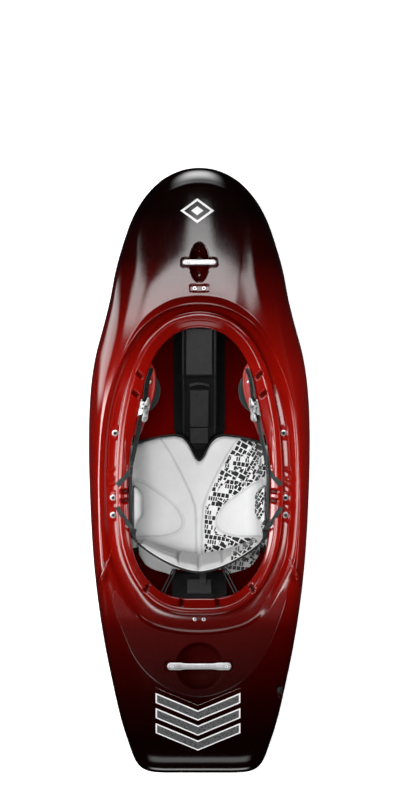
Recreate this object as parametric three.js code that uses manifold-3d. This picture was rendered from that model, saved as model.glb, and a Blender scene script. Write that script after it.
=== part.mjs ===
// Short whitewater playboat: rotomoulded shell with its outfitting.
// Millimetres. +X starboard, +Y to the bow, +Z up. Origin: middle of the
// length, on the centreline, on the flat planing bottom.
import * as THREE from 'three';
import { mergeVertices } from 'three/addons/utils/BufferGeometryUtils.js';
import Module from 'manifold-3d';

const wasm = await Module();
wasm.setup();

// ---------------------------------------------------------------- dimensions
const HALF_LENGTH = 915;         // half of the overall length
const WALL = 6;                  // polyethylene wall
const N_AZ = 48;                 // divisions round the shell
const RIM_LOW = 300;             // rim crest height at the back of the cockpit
const RIM_RISE = 105;            // how much higher it is at the front
const RIM_Y0 = -432, RIM_Y1 = 481;
const FLAT_Y = 330;              // the bottom is flat for |y| below this
const BOW_ROCKER = 285, STERN_ROCKER = 200;
const SEAM_MID = 190, SEAM_BOW = 315, SEAM_STERN = 222;
const BOW_HANDLE_Y = 628, STERN_HANDLE_Y = -588;
const SCREW_R = 3, HOLE_GAP = 0.45;
const GAP = 0.35;                // gap left between touching pieces

// Plan outline of the shell, half width at y (bow to stern).
const OUTLINE = [[0, 915], [45, 910], [89, 893], [122, 872], [168, 823], [203, 763], [226, 702],
  [253, 611], [271, 520], [294, 430], [311, 369], [323, 308], [331, 240], [335.5, 157], [336, 36],
  [333, -70], [328, -180], [319, -300], [304, -425], [285, -540], [261, -655], [236, -760],
  [213, -830], [197, -873], [182, -896], [160, -909], [125, -914.2], [60, -915], [0, -915]];
// Shoulder ridge round the cockpit gutter.
const RIDGE = [[0, 504], [62, 497], [119, 474], [170, 435], [222, 360], [262, 270], [284, 190],
  [296, 105], [301, 10], [301, -80], [296, -190], [284, -280], [255, -349], [208, -428],
  [130, -475], [0, -494]];
// Outer edge of the cockpit rim's lip, and inner edge of the opening.
const LIP = [[0, 481], [52, 474], [98, 455], [151, 405], [189, 340], [212, 275], [228, 210],
  [240, 140], [247, 60], [250, -10], [251, -80], [249, -140], [242, -205], [225, -270],
  [192, -338], [143, -395], [85, -424], [0, -432]];
const OPENING = [[0, 433], [40, 428], [76, 412], [119, 371], [146, 322], [170, 235], [188, 150],
  [203, 85], [210, 30], [213, -30], [212, -120], [207, -197], [192, -262], [163, -317],
  [116, -362], [58, -380], [0, -381]];

// Deck section between ridge (0) and outline (1): share of the height left.
const F_AT = [0, 0.1, 0.28, 0.5, 0.7, 0.85, 0.95, 1];
const F_LONG = [1, 0.982, 0.93, 0.82, 0.68, 0.55, 0.34, 0];
const F_SHORT = [1, 0.975, 0.90, 0.74, 0.54, 0.35, 0.16, 0];
// Bottom between centre (0) and outline (1): share of the bilge height.
const G_AT = [0, 0.35, 0.46, 0.57, 0.68, 0.78, 0.84, 0.9, 0.95, 0.985, 1];
const G_LONG = [0, 0, 0, 0, 0, 0, 0.01, 0.05, 0.17, 0.5, 1];
const G_SHORT = [0, 0, 0, 0, 0, 0, 0.05, 0.2, 0.48, 0.8, 1];

// ------------------------------------------------------------------- helpers
const V = (x, y, z) => new THREE.Vector3(x, y, z);
const lerp = (a, b, t) => a + (b - a) * t;
const clamp = (v, a, b) => Math.min(b, Math.max(a, v));
const smooth = (v) => { const t = clamp(v, 0, 1); return t * t * (3 - 2 * t); };

function table(xs, ys, x) {
  if (x <= xs[0]) return ys[0];
  for (let i = 1; i < xs.length; i++) {
    if (x <= xs[i]) return lerp(ys[i - 1], ys[i], (x - xs[i - 1]) / (xs[i] - xs[i - 1]));
  }
  return ys[ys.length - 1];
}

function closedCurve(half) {
  const right = half.map(([x, y]) => V(x, y, 0));
  const left = half.slice(1, -1).reverse().map(([x, y]) => V(-x, y, 0));
  const curve = new THREE.CatmullRomCurve3([...right, ...left], true, 'centripetal');
  curve.arcLengthDivisions = 1600;
  return (t) => curve.getPointAt(((t % 1) + 1) % 1);
}

const outlineAt = closedCurve(OUTLINE);
const ridgeAt = closedCurve(RIDGE);
const lipAt = closedCurve(LIP);
const openingAt = closedCurve(OPENING);

const rimZ = (y) => RIM_LOW + RIM_RISE * Math.pow(clamp((y - RIM_Y0) / (RIM_Y1 - RIM_Y0), 0, 1), 1.5);
const keelZ = (y) => (y > FLAT_Y
  ? BOW_ROCKER * Math.pow((y - FLAT_Y) / (HALF_LENGTH - FLAT_Y), 1.75)
  : y < -FLAT_Y ? STERN_ROCKER * Math.pow((-y - FLAT_Y) / (HALF_LENGTH - FLAT_Y), 1.7) : 0);
const seamZ = (y) => (y > 0
  ? SEAM_MID + (SEAM_BOW - SEAM_MID) * Math.pow(y / HALF_LENGTH, 2.2)
  : SEAM_MID + (SEAM_STERN - SEAM_MID) * Math.pow(-y / HALF_LENGTH, 2));
const ridgeZ = (y) => rimZ(y) - 14 - 8 * smooth((-y - 250) / 200);

// Share of "long" section (bow and stern) against "short" (beside the cockpit).
function longShare(t) {
  const d = outlineAt(t).distanceTo(ridgeAt(t));
  return smooth((d - 45) / 220);
}

function deckPoint(t, f) {
  const o = outlineAt(t), r = ridgeAt(t), s = longShare(t);
  const share = lerp(table(F_AT, F_SHORT, f), table(F_AT, F_LONG, f), s);
  const zs = seamZ(o.y), zr = ridgeZ(r.y);
  return V(lerp(r.x, o.x, f), lerp(r.y, o.y, f), zs + (zr - zs) * share);
}
function bottomPoint(t, g) {
  const o = outlineAt(t), s = longShare(t);
  const share = lerp(table(G_AT, G_SHORT, g), table(G_AT, G_LONG, g), s);
  const y = o.y * g;
  return V(o.x * g, y, keelZ(y) + (seamZ(o.y) - keelZ(o.y)) * share);
}
// Deck height on the centreline ahead of or behind the cockpit.
function deckZ(y) {
  return y > 0 ? deckPoint(0, (y - 504) / (HALF_LENGTH - 504)).z
    : deckPoint(0.5, (-494 - y) / (HALF_LENGTH - 494)).z;
}
const deckTilt = (y) => Math.atan2(deckZ(y + 30) - deckZ(y - 30), 60);

// Rim section: a = distance out from the opening's edge, z below the crest.
function rimPoint(t, aOf, dz) {
  const i = openingAt(t), o = lipAt(t);
  const w = i.distanceTo(o);
  const a = aOf(w);
  const y = lerp(i.y, o.y, 0.5);
  return V(i.x + (o.x - i.x) * a / w, i.y + (o.y - i.y) * a / w, rimZ(y) + dz);
}

// Closed solid from stacked rings; the first and last rings are single points.
function ringSolid(rings) {
  const pos = [];
  const idx = [];
  const start = [];
  for (const ring of rings) {
    start.push(pos.length / 3);
    for (const p of ring) pos.push(p.x, p.y, p.z);
  }
  for (let k = 0; k + 1 < rings.length; k++) {
    const a = rings[k], b = rings[k + 1], sa = start[k], sb = start[k + 1];
    const n = Math.max(a.length, b.length);
    for (let i = 0; i < n; i++) {
      const j = (i + 1) % n;
      if (a.length === 1) idx.push(sa, sb + i, sb + j);
      else if (b.length === 1) idx.push(sa + i, sb, sa + j);
      else idx.push(sa + i, sb + i, sb + j, sa + i, sb + j, sa + j);
    }
  }
  return outward(makeGeo(pos, idx));
}

function makeGeo(pos, idx) {
  const g = new THREE.BufferGeometry();
  g.setAttribute('position', new THREE.Float32BufferAttribute(pos, 3));
  g.setIndex(idx);
  return g;
}
function volume(g) {
  const p = g.attributes.position, ix = g.index.array;
  let v = 0;
  for (let i = 0; i < ix.length; i += 3) {
    const a = V().fromBufferAttribute(p, ix[i]);
    const b = V().fromBufferAttribute(p, ix[i + 1]);
    const c = V().fromBufferAttribute(p, ix[i + 2]);
    v += a.dot(b.cross(c)) / 6;
  }
  return v;
}
function flip(g) {
  const ix = g.index.array;
  for (let i = 0; i < ix.length; i += 3) { const s = ix[i]; ix[i] = ix[i + 1]; ix[i + 1] = s; }
  return g;
}
const outward = (g) => (volume(g) < 0 ? flip(g) : g);

// Closed thick sheet between two grids of points of the same size.
function sheet(P, Q) {
  const K = P.length, M = P[0].length, pos = [], idx = [];
  for (const G of [P, Q]) for (const row of G) for (const p of row) pos.push(p.x, p.y, p.z);
  const a = (k, m) => k * M + m, b = (k, m) => K * M + k * M + m;
  const quad = (i, j, k, l) => idx.push(i, j, k, i, k, l);
  for (let k = 0; k + 1 < K; k++) {
    for (let m = 0; m + 1 < M; m++) {
      quad(a(k, m), a(k + 1, m), a(k + 1, m + 1), a(k, m + 1));
      quad(b(k, m), b(k, m + 1), b(k + 1, m + 1), b(k + 1, m));
    }
    quad(a(k, 0), b(k, 0), b(k + 1, 0), a(k + 1, 0));
    quad(a(k, M - 1), a(k + 1, M - 1), b(k + 1, M - 1), b(k, M - 1));
  }
  for (let m = 0; m + 1 < M; m++) {
    quad(a(0, m), a(0, m + 1), b(0, m + 1), b(0, m));
    quad(a(K - 1, m), b(K - 1, m), b(K - 1, m + 1), a(K - 1, m + 1));
  }
  return outward(makeGeo(pos, idx));
}

// Flat strap: centre points, its width and thickness directions at each point.
function strap(points, widthDir, width, thick) {
  const P = [], Q = [];
  points.forEach((p, i) => {
    const prev = points[Math.max(0, i - 1)], next = points[Math.min(points.length - 1, i + 1)];
    const s = next.clone().sub(prev).normalize();
    const wd = (Array.isArray(widthDir) ? widthDir[i] : widthDir).clone();
    wd.addScaledVector(s, -wd.dot(s)).normalize();
    const n = s.clone().cross(wd).normalize();
    const row = (h) => [-0.5, 0.5].map((u) => p.clone().addScaledVector(wd, u * width).addScaledVector(n, h));
    P.push(row(thick / 2));
    Q.push(row(-thick / 2));
  });
  return sheet(P, Q);
}

// Polygon in the YZ plane pulled along X, centred on x.
function pullX(polygon, width, x = 0) {
  const g = new THREE.ExtrudeGeometry(new THREE.Shape(polygon.map(([a, b]) => new THREE.Vector2(a, b))),
    { depth: width, bevelEnabled: false });
  g.applyMatrix4(new THREE.Matrix4().makeBasis(V(0, 1, 0), V(0, 0, 1), V(1, 0, 0)));
  g.translate(x - width / 2, 0, 0);
  return g;
}
// Polygon in the XZ plane pulled along Y from y0 to y1.
function pullY(polygon, y0, y1) {
  const g = new THREE.ExtrudeGeometry(new THREE.Shape(polygon.map(([a, b]) => new THREE.Vector2(a, b))),
    { depth: y1 - y0, bevelEnabled: false });
  g.applyMatrix4(new THREE.Matrix4().makeBasis(V(1, 0, 0), V(0, 0, 1), V(0, -1, 0)));
  g.translate(0, y1, 0);
  return g;
}

function toSolid(geo) {
  let g = geo.clone();
  g.deleteAttribute('normal');
  g.deleteAttribute('uv');
  g = mergeVertices(g, 1e-4);
  const m = new wasm.Mesh({ numProp: 3,
    vertProperties: new Float32Array(g.attributes.position.array),
    triVerts: new Uint32Array(g.index.array) });
  return new wasm.Manifold(m);
}
function toGeo(solid) {
  const m = solid.getMesh();
  return makeGeo(Array.from(m.vertProperties), Array.from(m.triVerts));
}
const moved = (geo, mat) => { const g = geo.clone(); g.applyMatrix4(mat); return g; };
function at(x, y, z, rx = 0, ry = 0, rz = 0) {
  return new THREE.Matrix4().compose(V(x, y, z),
    new THREE.Quaternion().setFromEuler(new THREE.Euler(rx, ry, rz)), V(1, 1, 1));
}
// Frame whose local +Y points along dir.
function along(p, dir) {
  return new THREE.Matrix4().compose(p,
    new THREE.Quaternion().setFromUnitVectors(V(0, 1, 0), dir.clone().normalize()), V(1, 1, 1));
}
function mirrored(geo) {
  const g = geo.clone();
  g.applyMatrix4(new THREE.Matrix4().makeScale(-1, 1, 1));
  if (!g.index) return flip(mergeVertices(bare(g), 1e-4));
  return flip(g);
}
function bare(g) { g.deleteAttribute('normal'); g.deleteAttribute('uv'); return g; }

const mat = (color, roughness, metalness = 0) => new THREE.MeshStandardMaterial({ color, roughness, metalness });
const MAT = {
  shell: mat(0x7d0a04, 0.18), liner: mat(0x141414, 0.55), foam: mat(0x2f2f30, 0.9),
  steel: mat(0xbfc4c6, 0.3, 1), alloy: mat(0xd8dadb, 0.35, 1), fabric: mat(0xd9d9d9, 0.8),
  webbing: mat(0x23282a, 0.85), plastic: mat(0x17191a, 0.5), grey: mat(0xa8a8a8, 0.4),
  brace: mat(0xa01008, 0.3), rubber: mat(0x101010, 0.8), cord: mat(0x1c1f20, 0.8),
};

const kayak = new THREE.Group();
kayak.name = 'whitewater_kayak';
function add(name, geo, material, parent = kayak) {
  const mesh = new THREE.Mesh(geo, material);
  mesh.name = name;
  parent.add(mesh);
  return mesh;
}

// ------------------------------------------------------------------ fasteners
// Pan-head screw, its head's underside at the frame's origin, +Y out of the head.
function screwGeo(headR, headH, length, washerR = 0) {
  const p = [[0, -length], [SCREW_R, -length + 2], [SCREW_R, 0]];
  if (washerR) p.push([washerR, 0], [washerR, 1.6], [headR, 1.6]);
  else p.push([headR, 0]);
  p.push([headR, headH * 0.55 + (washerR ? 1.6 : 0)], [headR * 0.6, headH + (washerR ? 1.6 : 0)],
    [0, headH + (washerR ? 1.6 : 0)]);
  return new THREE.LatheGeometry(p.map(([r, y]) => new THREE.Vector2(r, y)), 10);
}
function holeGeo(length, r = SCREW_R + HOLE_GAP, above = 4, seg = 10) {
  const g = new THREE.CylinderGeometry(r, r, length + above, seg);
  g.translate(0, (above - length) / 2, 0);
  return g;
}

// ---------------------------------------------------------------- hull shell
// Closer together round the bow and the stern's corners than along the sides.
const ts = Array.from({ length: N_AZ }, (_, i) => i / N_AZ - 0.032 * Math.sin(4 * Math.PI * i / N_AZ));
const ringOf = (fn) => ts.map(fn);
const outer = [];
for (const g of G_AT.slice(1)) outer.push(ringOf((t) => bottomPoint(t, g)));
for (const f of F_AT.slice(0, -1).reverse()) outer.push(ringOf((t) => deckPoint(t, f)));
const between = (t, f, dz) => {
  const l = lipAt(t), r = ridgeAt(t);
  return V(lerp(l.x, r.x, f), lerp(l.y, r.y, f), rimZ(lerp(l.y, r.y, 0.3)) + dz);
};
outer.push(ringOf((t) => between(t, 0.8, ridgeZ(ridgeAt(t).y) - rimZ(ridgeAt(t).y) - 6)));
outer.push(ringOf((t) => between(t, 0.5, -33)));
outer.push(ringOf((t) => rimPoint(t, (w) => w - 5, -35)));
outer.push(ringOf((t) => rimPoint(t, (w) => w - 11, -30)));

// Inner skin: each outer point moved in by the wall thickness.
const centre = V(0, 0, 0);
function offsetRing(k) {
  const ring = outer[k];
  return ring.map((p, i) => {
    const e = ring[(i + 1) % N_AZ].clone().sub(ring[(i + N_AZ - 1) % N_AZ]);
    const down = k > 0 ? outer[k - 1][i] : centre;
    const up = k + 1 < outer.length ? outer[k + 1][i] : p;
    const n = e.cross(up.clone().sub(down)).normalize();
    return p.clone().addScaledVector(n, WALL);
  });
}
// The ring runs clockwise seen from above, so this normal points inward.
const inner = outer.map((_, k) => offsetRing(k));
const neck = [
  ringOf((t) => rimPoint(t, (w) => w - 11, -12)),
  ringOf((t) => rimPoint(t, (w) => w - 1, -9)),
  ringOf((t) => rimPoint(t, (w) => w, -4)),
  ringOf((t) => rimPoint(t, (w) => w - 6, -0.5)),
  ringOf((t) => rimPoint(t, (w) => w - 14, 0)),
  ringOf((t) => rimPoint(t, (w) => Math.min(w - 22, w * 0.4), -5)),
  ringOf((t) => rimPoint(t, () => 1.5, -16)),
  ringOf((t) => rimPoint(t, () => 0.5, -21)),
  ringOf((t) => rimPoint(t, () => 5, -21)),
  ringOf((t) => rimPoint(t, (w) => w - 19, -11)),
];
inner[inner.length - 1] = ringOf((t) => rimPoint(t, (w) => w - 17, -36));
let shell = toSolid(ringSolid([[V(0, 0, 0)], ...outer, ...neck, ...inner.reverse(), [V(0, 0, WALL)]]));

// Finger pocket under a grab handle and the tray its bar lies in.
function pocket(solid, y, rx, ry, depth, trayW, trayH) {
  const m = at(0, y, deckZ(y), deckTilt(y));
  const bowl = (a, b, c, top) => {
    const pts = [];
    for (let i = 0; i <= 6; i++) {
      const q = (i / 6) * Math.PI / 2;
      pts.push(new THREE.Vector2(Math.sin(q), -Math.cos(q)));
    }
    pts.push(new THREE.Vector2(1, top / c), new THREE.Vector2(0, top / c));
    const g = new THREE.LatheGeometry(pts, 20);
    g.rotateX(Math.PI / 2);
    g.scale(a, b, c);
    return g;
  };
  const tray = (w, h, z0, z1) => {
    const g = new THREE.BoxGeometry(w, h, z1 - z0);
    g.translate(0, 0, (z0 + z1) / 2);
    return g;
  };
  return solid
    .add(toSolid(moved(bowl(rx + WALL, ry + WALL, depth + WALL, -2.5), m)))
    .add(toSolid(moved(tray(trayW + 12, trayH + 12, -13, -2.5), m)))
    .subtract(toSolid(moved(bowl(rx, ry, depth, 20), m)))
    .subtract(toSolid(moved(tray(trayW, trayH, -7, 20), m)));
}
shell = pocket(shell, BOW_HANDLE_Y, 28.5, 59.5, 42, 109, 25);
shell = pocket(shell, STERN_HANDLE_Y, 71, 72, 46, 204, 32);

// Height of the shell's surface over or under a point, before the screw holes.
const probeMesh = new THREE.Mesh(toGeo(shell), new THREE.MeshBasicMaterial({ side: THREE.DoubleSide }));
const ray = new THREE.Raycaster();
function probe(x, y, z, up) {
  ray.set(V(x, y, z), V(0, 0, up));
  const hit = ray.intersectObject(probeMesh)[0];
  return hit ? hit.point.z : NaN;
}
function topZ(x, y, r) {
  let z = -1e9;
  for (let i = 0; i < 8; i++) {
    const q = i / 8 * Math.PI * 2;
    z = Math.max(z, probe(x + r * Math.cos(q), y + r * Math.sin(q), 600, -1));
  }
  return z;
}

const cutShell = (geo) => { shell = shell.subtract(toSolid(geo)); };

// --------------------------------------------------------------- grab handles
function handle(name, y, halfLen, endW, midW, screwX) {
  const z = -7 + GAP;
  const g = new THREE.Group();
  g.position.set(0, y, deckZ(y));
  g.rotation.x = deckTilt(y);
  kayak.add(g);
  const s = new THREE.Shape();
  const r = endW * 0.35;
  s.moveTo(-halfLen + r, -endW / 2);
  s.lineTo(-halfLen * 0.62, -endW / 2);
  s.lineTo(-halfLen * 0.4, -midW / 2);
  s.lineTo(halfLen * 0.4, -midW / 2);
  s.lineTo(halfLen * 0.62, -endW / 2);
  s.lineTo(halfLen - r, -endW / 2);
  s.lineTo(halfLen, -endW / 2 + r);
  s.lineTo(halfLen, endW / 2 - r);
  s.lineTo(halfLen - r, endW / 2);
  s.lineTo(halfLen * 0.62, endW / 2);
  s.lineTo(halfLen * 0.4, midW / 2);
  s.lineTo(-halfLen * 0.4, midW / 2);
  s.lineTo(-halfLen * 0.62, endW / 2);
  s.lineTo(-halfLen + r, endW / 2);
  s.lineTo(-halfLen, endW / 2 - r);
  s.lineTo(-halfLen, -endW / 2 + r);
  s.closePath();
  const bar = new THREE.ExtrudeGeometry(s, { depth: 9, bevelEnabled: false });
  let solid = toSolid(bar);
  const m = at(0, y, deckZ(y), deckTilt(y));
  [['left', -1], ['right', 1]].forEach(([side, k]) => {
    const hole = holeGeo(30);
    hole.rotateX(Math.PI / 2);
    hole.translate(k * screwX, 0, 9);
    solid = solid.subtract(toSolid(hole));
    const cut = hole.clone();
    cut.translate(0, 0, z);
    cutShell(moved(cut, m));
    const screw = add(`${name}_screw_${side}`, screwGeo(4.6, 3, 24), MAT.steel, g);
    screw.rotation.x = Math.PI / 2;
    screw.position.set(k * screwX, 0, z + 9 + GAP);
  });
  const mesh = add(`${name}_grab_handle`, toGeo(solid), MAT.alloy, g);
  mesh.position.z = z;
}
handle('bow', BOW_HANDLE_Y, 48.5, 16, 16, 35);
handle('stern', STERN_HANDLE_Y, 96.5, 23, 18, 82.6);

// ------------------------------------------------- central foam walls (pillars)
const floorAt = (y) => Math.max(...[-80, -40, 0, 40, 80].map((x) => probe(x, y, keelZ(y) + 60, -1))) + 1.8;
const roofAt = (y, half) => Math.min(...[-half, 0, half].map((x) => probe(x, y, 220, 1))) - 1.8;
const floorLine = (y0, y1, n) => Array.from({ length: n + 1 }, (_, i) => {
  const y = lerp(y0, y1, i / n);
  return [y, floorAt(y)];
});
let frontPillar = toSolid(pullX([...floorLine(58, 600, 12), [600, roofAt(600, 48)], [524, roofAt(524, 48) - 1.5], [517, 346],
  [438, 346], [434, 338], [292, 290], [286, 236], [262, 228], [250, 205], [138, 120], [93, 88], [58, 62]], 95))
  .add(toSolid(pullX([...floorLine(58, 600, 12), [600, floorAt(600) + 26], [520, floorAt(520) + 26],
    [330, 46], [58, 34]], 158)));
// Its aft end is cut to the seat's notch, with room for the seat to slide.
const SEAT_TRAVEL = 8;
const seatFront = (x) => table([0, 14, 34, 52, 76, 130, 190, 240], [26, 40, 84, 103, 108, 101, 86, 70], Math.abs(x));
{
  const xs = [-100, -76, -52, -34, -14, 0, 14, 34, 52, 76, 100];
  const g = new THREE.ExtrudeGeometry(new THREE.Shape([[-100, -50], [100, -50],
    ...xs.reverse().map((x) => [x, seatFront(x) + SEAT_TRAVEL + 5.5])].map(([a, b]) => new THREE.Vector2(a, b))),
  { depth: 400, bevelEnabled: false });
  frontPillar = frontPillar.subtract(toSolid(g));
}
[-1, 1].forEach((k) => {
  const rib = pullX([[132, 108], [250, 196], [300, 262], [430, 318], [430, 345], [292, 297], [286, 246],
    [262, 240], [250, 214], [138, 129]], 5, k * 50);
  frontPillar = frontPillar.add(toSolid(rib));
});
let rearPillar = toSolid(pullX([...floorLine(-612, -318, 10).reverse(),
  [-612, 217], [-514, 217], [-505, 252], [-372, 252], [-336, 180], [-318, 172]], 90))
  .add(toSolid(pullX([[-396, floorAt(-396)], [-396, 240], [-372, 240], [-330, 168], [-318, 160],
    [-318, floorAt(-318)]], 166)));

function deckScrews(name, y, z, tilt, pillar, headGap) {
  let body = pillar;
  [['left', -1], ['right', 1]].forEach(([side, k]) => {
    const m = at(k * 13.5, y, z + headGap, tilt).multiply(at(0, 0, 0, Math.PI / 2));
    cutShell(moved(holeGeo(34), m));
    body = body.subtract(toSolid(moved(holeGeo(34), m)));
    const screw = add(`${name}_screw_${side}`, screwGeo(6, 3.5, 30), MAT.steel);
    screw.applyMatrix4(m);
  });
  return body;
}
// The two screws ahead of the cockpit sit in a shallow recess.
const RECESS = [57, 20, 2.2];
{
  const g = new THREE.BoxGeometry(RECESS[0], RECESS[1], 22.2);
  g.translate(0, 0, 11.1 - RECESS[2]);
  cutShell(moved(g, at(0, 550, deckZ(550), deckTilt(550))));
}
frontPillar = deckScrews('front_pillar', 550, deckZ(550), deckTilt(550), frontPillar, GAP - RECESS[2]);
rearPillar = deckScrews('rear_pillar', -446, topZ(13.5, -446, 6.2), 0, rearPillar, GAP);
add('front_pillar', toGeo(frontPillar), MAT.liner);
add('rear_pillar', toGeo(rearPillar), MAT.liner);
add('front_pillar_pad_upper', pullX([[295, 291.4], [431, 338], [428, 348], [291.7, 301.5]].map(([a, b]) => [a + 1, b + 0.5]), 78), MAT.foam);
add('front_pillar_pad_lower', pullX([[140, 122], [249, 204.7], [243, 213], [134, 130.5]], 56), MAT.foam);
add('rear_pillar_pad', pullX([[-372, 255], [-338, 185], [-331, 190], [-365, 262]].map(([a, b]) => [a + 1.5, b - 0.6]), 73), MAT.foam);

// Foam foot bulkhead ahead of the front pillar.
add('foot_bulkhead', pullY([[-150, 132], [150, 132], [165, 160], [150, 296], [110, 336], [-110, 336],
  [-150, 296], [-165, 160]], 612, 680), MAT.foam);

// ------------------------------------------------------- side rails and screws
const RAIL_Y = [-150, -60, 40, 140];
const SIDE_SCREWS = [['front', 253, 118], ['middle', 260, -77], ['rear', 260, -130]];
const rimSlope = (y) => Math.atan2(rimZ(y + 5) - rimZ(y - 5), 10);
[['left', -1], ['right', 1]].forEach(([side, k]) => {
  const P = RAIL_Y.map((y) => [V(243, y, rimZ(y) - 43), V(266, y, rimZ(y) - 43)]);
  const Q = P.map((row) => row.map((p) => p.clone().add(V(0, 0, -18))));
  let rail = toSolid(sheet(P, Q));
  for (const [where, x, y] of SIDE_SCREWS) {
    const seatZ = Math.max(probe(x, y, 600, -1), topZ(x, y, 9.2) - 9 * Math.tan(rimSlope(y))) + GAP + 0.3;
    const m = at(x, y, seatZ, rimSlope(y)).multiply(at(0, 0, 0, Math.PI / 2));
    cutShell(moved(holeGeo(26), m));
    rail = rail.subtract(toSolid(moved(holeGeo(40), m)));
    let mesh = m;
    if (k < 0) mesh = at(-x, y, seatZ, rimSlope(y)).multiply(at(0, 0, 0, Math.PI / 2));
    if (k < 0) cutShell(moved(holeGeo(26), mesh));
    const screw = add(`side_screw_${where}_${side}`, screwGeo(4.6, 2.6, 22, 9), MAT.steel);
    screw.applyMatrix4(mesh);
  }
  const g = toGeo(rail);
  add(`side_rail_${side}`, k < 0 ? mirrored(g) : g, MAT.plastic);
});

// ------------------------------------------------------------------ drain plug
// A round recess cut into the stern's starboard shoulder, facing outboard.
const DRAIN_AT = V(241.3, -661.6, 239.1);
const DRAIN_DIR = V(0.859, -0.204, 0.469).normalize();
const DRAIN_R = 15.5;
const drainFrame = along(DRAIN_AT, DRAIN_DIR);
const rod = (r, y0, y1, seg) => {
  const g = new THREE.CylinderGeometry(r, r, y1 - y0, seg);
  g.translate(0, (y0 + y1) / 2, 0);
  return moved(g, drainFrame);
};
shell = shell.add(toSolid(rod(DRAIN_R + 3.5, -8, -2.5, 24)));
cutShell(rod(DRAIN_R, 0, 40, 24));
cutShell(rod(9.1, -16, 6, 16));
const ring2 = (pts, seg = 16) => new THREE.LatheGeometry(pts.map(([r, y]) => new THREE.Vector2(r, y)), seg);
add('drain_bushing', ring2([[6.4, -12], [8.5, -12], [8.5, 0.35], [13.8, 0.35], [13.8, 2.2], [6.4, 2.2], [6.4, -12]]), MAT.rubber)
  .applyMatrix4(drainFrame);
add('drain_plug', ring2([[0, -10], [6, -10], [6, 2.6], [10.5, 2.6], [10.5, 6.4], [9, 7.6], [0, 7.6]]), MAT.plastic)
  .applyMatrix4(drainFrame);

// ------------------------------------------------------------------- the seat
const PAN = [[0, 13], [118, 13], [160, 19], [190, 48], [210, 105], [226, 180], [240, 248]];
const fullProfile = [...PAN.slice(1).reverse().map(([x, z]) => [-x, z]), ...PAN];
function offsetProfile(profile, d) {
  return profile.map(([x, z], i) => {
    const a = profile[Math.max(0, i - 1)], b = profile[Math.min(profile.length - 1, i + 1)];
    const dx = b[0] - a[0], dz = b[1] - a[1], l = Math.hypot(dx, dz);
    return [x - dz / l * (Array.isArray(d) ? d[i] : d), z + dx / l * (Array.isArray(d) ? d[i] : d)];
  });
}
// The seat's front edge: two lobes and a notch for the pillar.
function seatGrid(profile, y0, frontShift, ks) {
  return ks.map((v) => profile.map(([x, z]) => V(x, lerp(y0, seatFront(x) + frontShift, v), z)));
}
const dense = (profile) => {
  const xs = [];
  for (let i = 0; i + 1 < profile.length; i++) {
    xs.push(profile[i]);
    if (Math.abs(profile[i][0]) > 119 || Math.abs(profile[i + 1][0]) > 119) continue;
    const way = Math.sign(profile[i + 1][0] - profile[i][0]);
    [-94, -76, -52, -34, -14, 14, 34, 52, 76, 94].map((x) => way * x)
      .filter((x) => (x - profile[i][0]) * (x - profile[i + 1][0]) < 0).forEach((x) => xs.push([x, profile[i][1]]));
  }
  xs.push(profile[profile.length - 1]);
  return xs;
};
const panOut = dense(fullProfile), panIn = offsetProfile(panOut, 4);
const SEAT_K = [0, 1];
add('seat_pan', sheet(seatGrid(panOut, -250, 4, SEAT_K), seatGrid(panIn, -250, 4, SEAT_K)), MAT.plastic);
const padProfile = panOut.filter(([x]) => Math.abs(x) < 215);
const padLow = offsetProfile(padProfile, 4 + GAP);
const padHigh = offsetProfile(padProfile, padProfile.map(([x]) => 32 - 14 * smooth((Math.abs(x) - 120) / 90)));
add('seat_pad', sheet(seatGrid(padLow, -246, 0, [0, 0.5, 1]), seatGrid(padHigh, -246, -3, [0, 0.5, 1])), MAT.fabric);

function hipPad() {
  const P = [], Q = [];
  for (const [y, c] of [[-194, 0.3], [-160, 0.42], [-128, 0.95], [-80, 0.95], [-46, 0.45]]) {
    const rowP = [], rowQ = [];
    for (const [z, h] of [[122, 0.5], [150, 0.9], [200, 1], [240, 0.8], [258, 0.45]]) {
      rowP.push(V(-201, y, z));
      rowQ.push(V(-201 + 34 * c * h, y, z));
    }
    P.push(rowP);
    Q.push(rowQ);
  }
  return sheet(P, Q);
}
add('hip_pad_left', hipPad(), MAT.fabric);
add('hip_pad_right', mirrored(hipPad()), MAT.fabric);

// ------------------------------------------------------------------ back band
const BAND_X = [-178, -148, -110, -60, 0, 60, 110, 148, 178];
const BAND_Z = [118, 165, 215, 258];
const bandTop = (x) => -305 + 87 * Math.pow(Math.abs(x) / 187, 1.7);
const bandC = (x) => 1 - 0.8 * Math.pow(Math.abs(x) / 187, 2);
const bandY = (x, z) => bandTop(x) + 25 * bandC(x) * (258 - z) / 140;
const bandGrid = (xs, zs, dy) => zs.map((z) => xs.map((x) => V(x, bandY(x, z) + dy(x, z), z)));
const crown = (z) => 1 - Math.pow((z - 188) / 90, 4);
add('backband_core', sheet(bandGrid(BAND_X.slice(1, -1), [135, 190, 246], () => -4.5),
  bandGrid(BAND_X.slice(1, -1), [135, 190, 246], () => -0.6)), MAT.plastic);
add('backband_cover', sheet(bandGrid(BAND_X, BAND_Z, () => 0),
  bandGrid(BAND_X, BAND_Z, (x, z) => 8 + 24 * bandC(x) * crown(z))), MAT.fabric);

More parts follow.
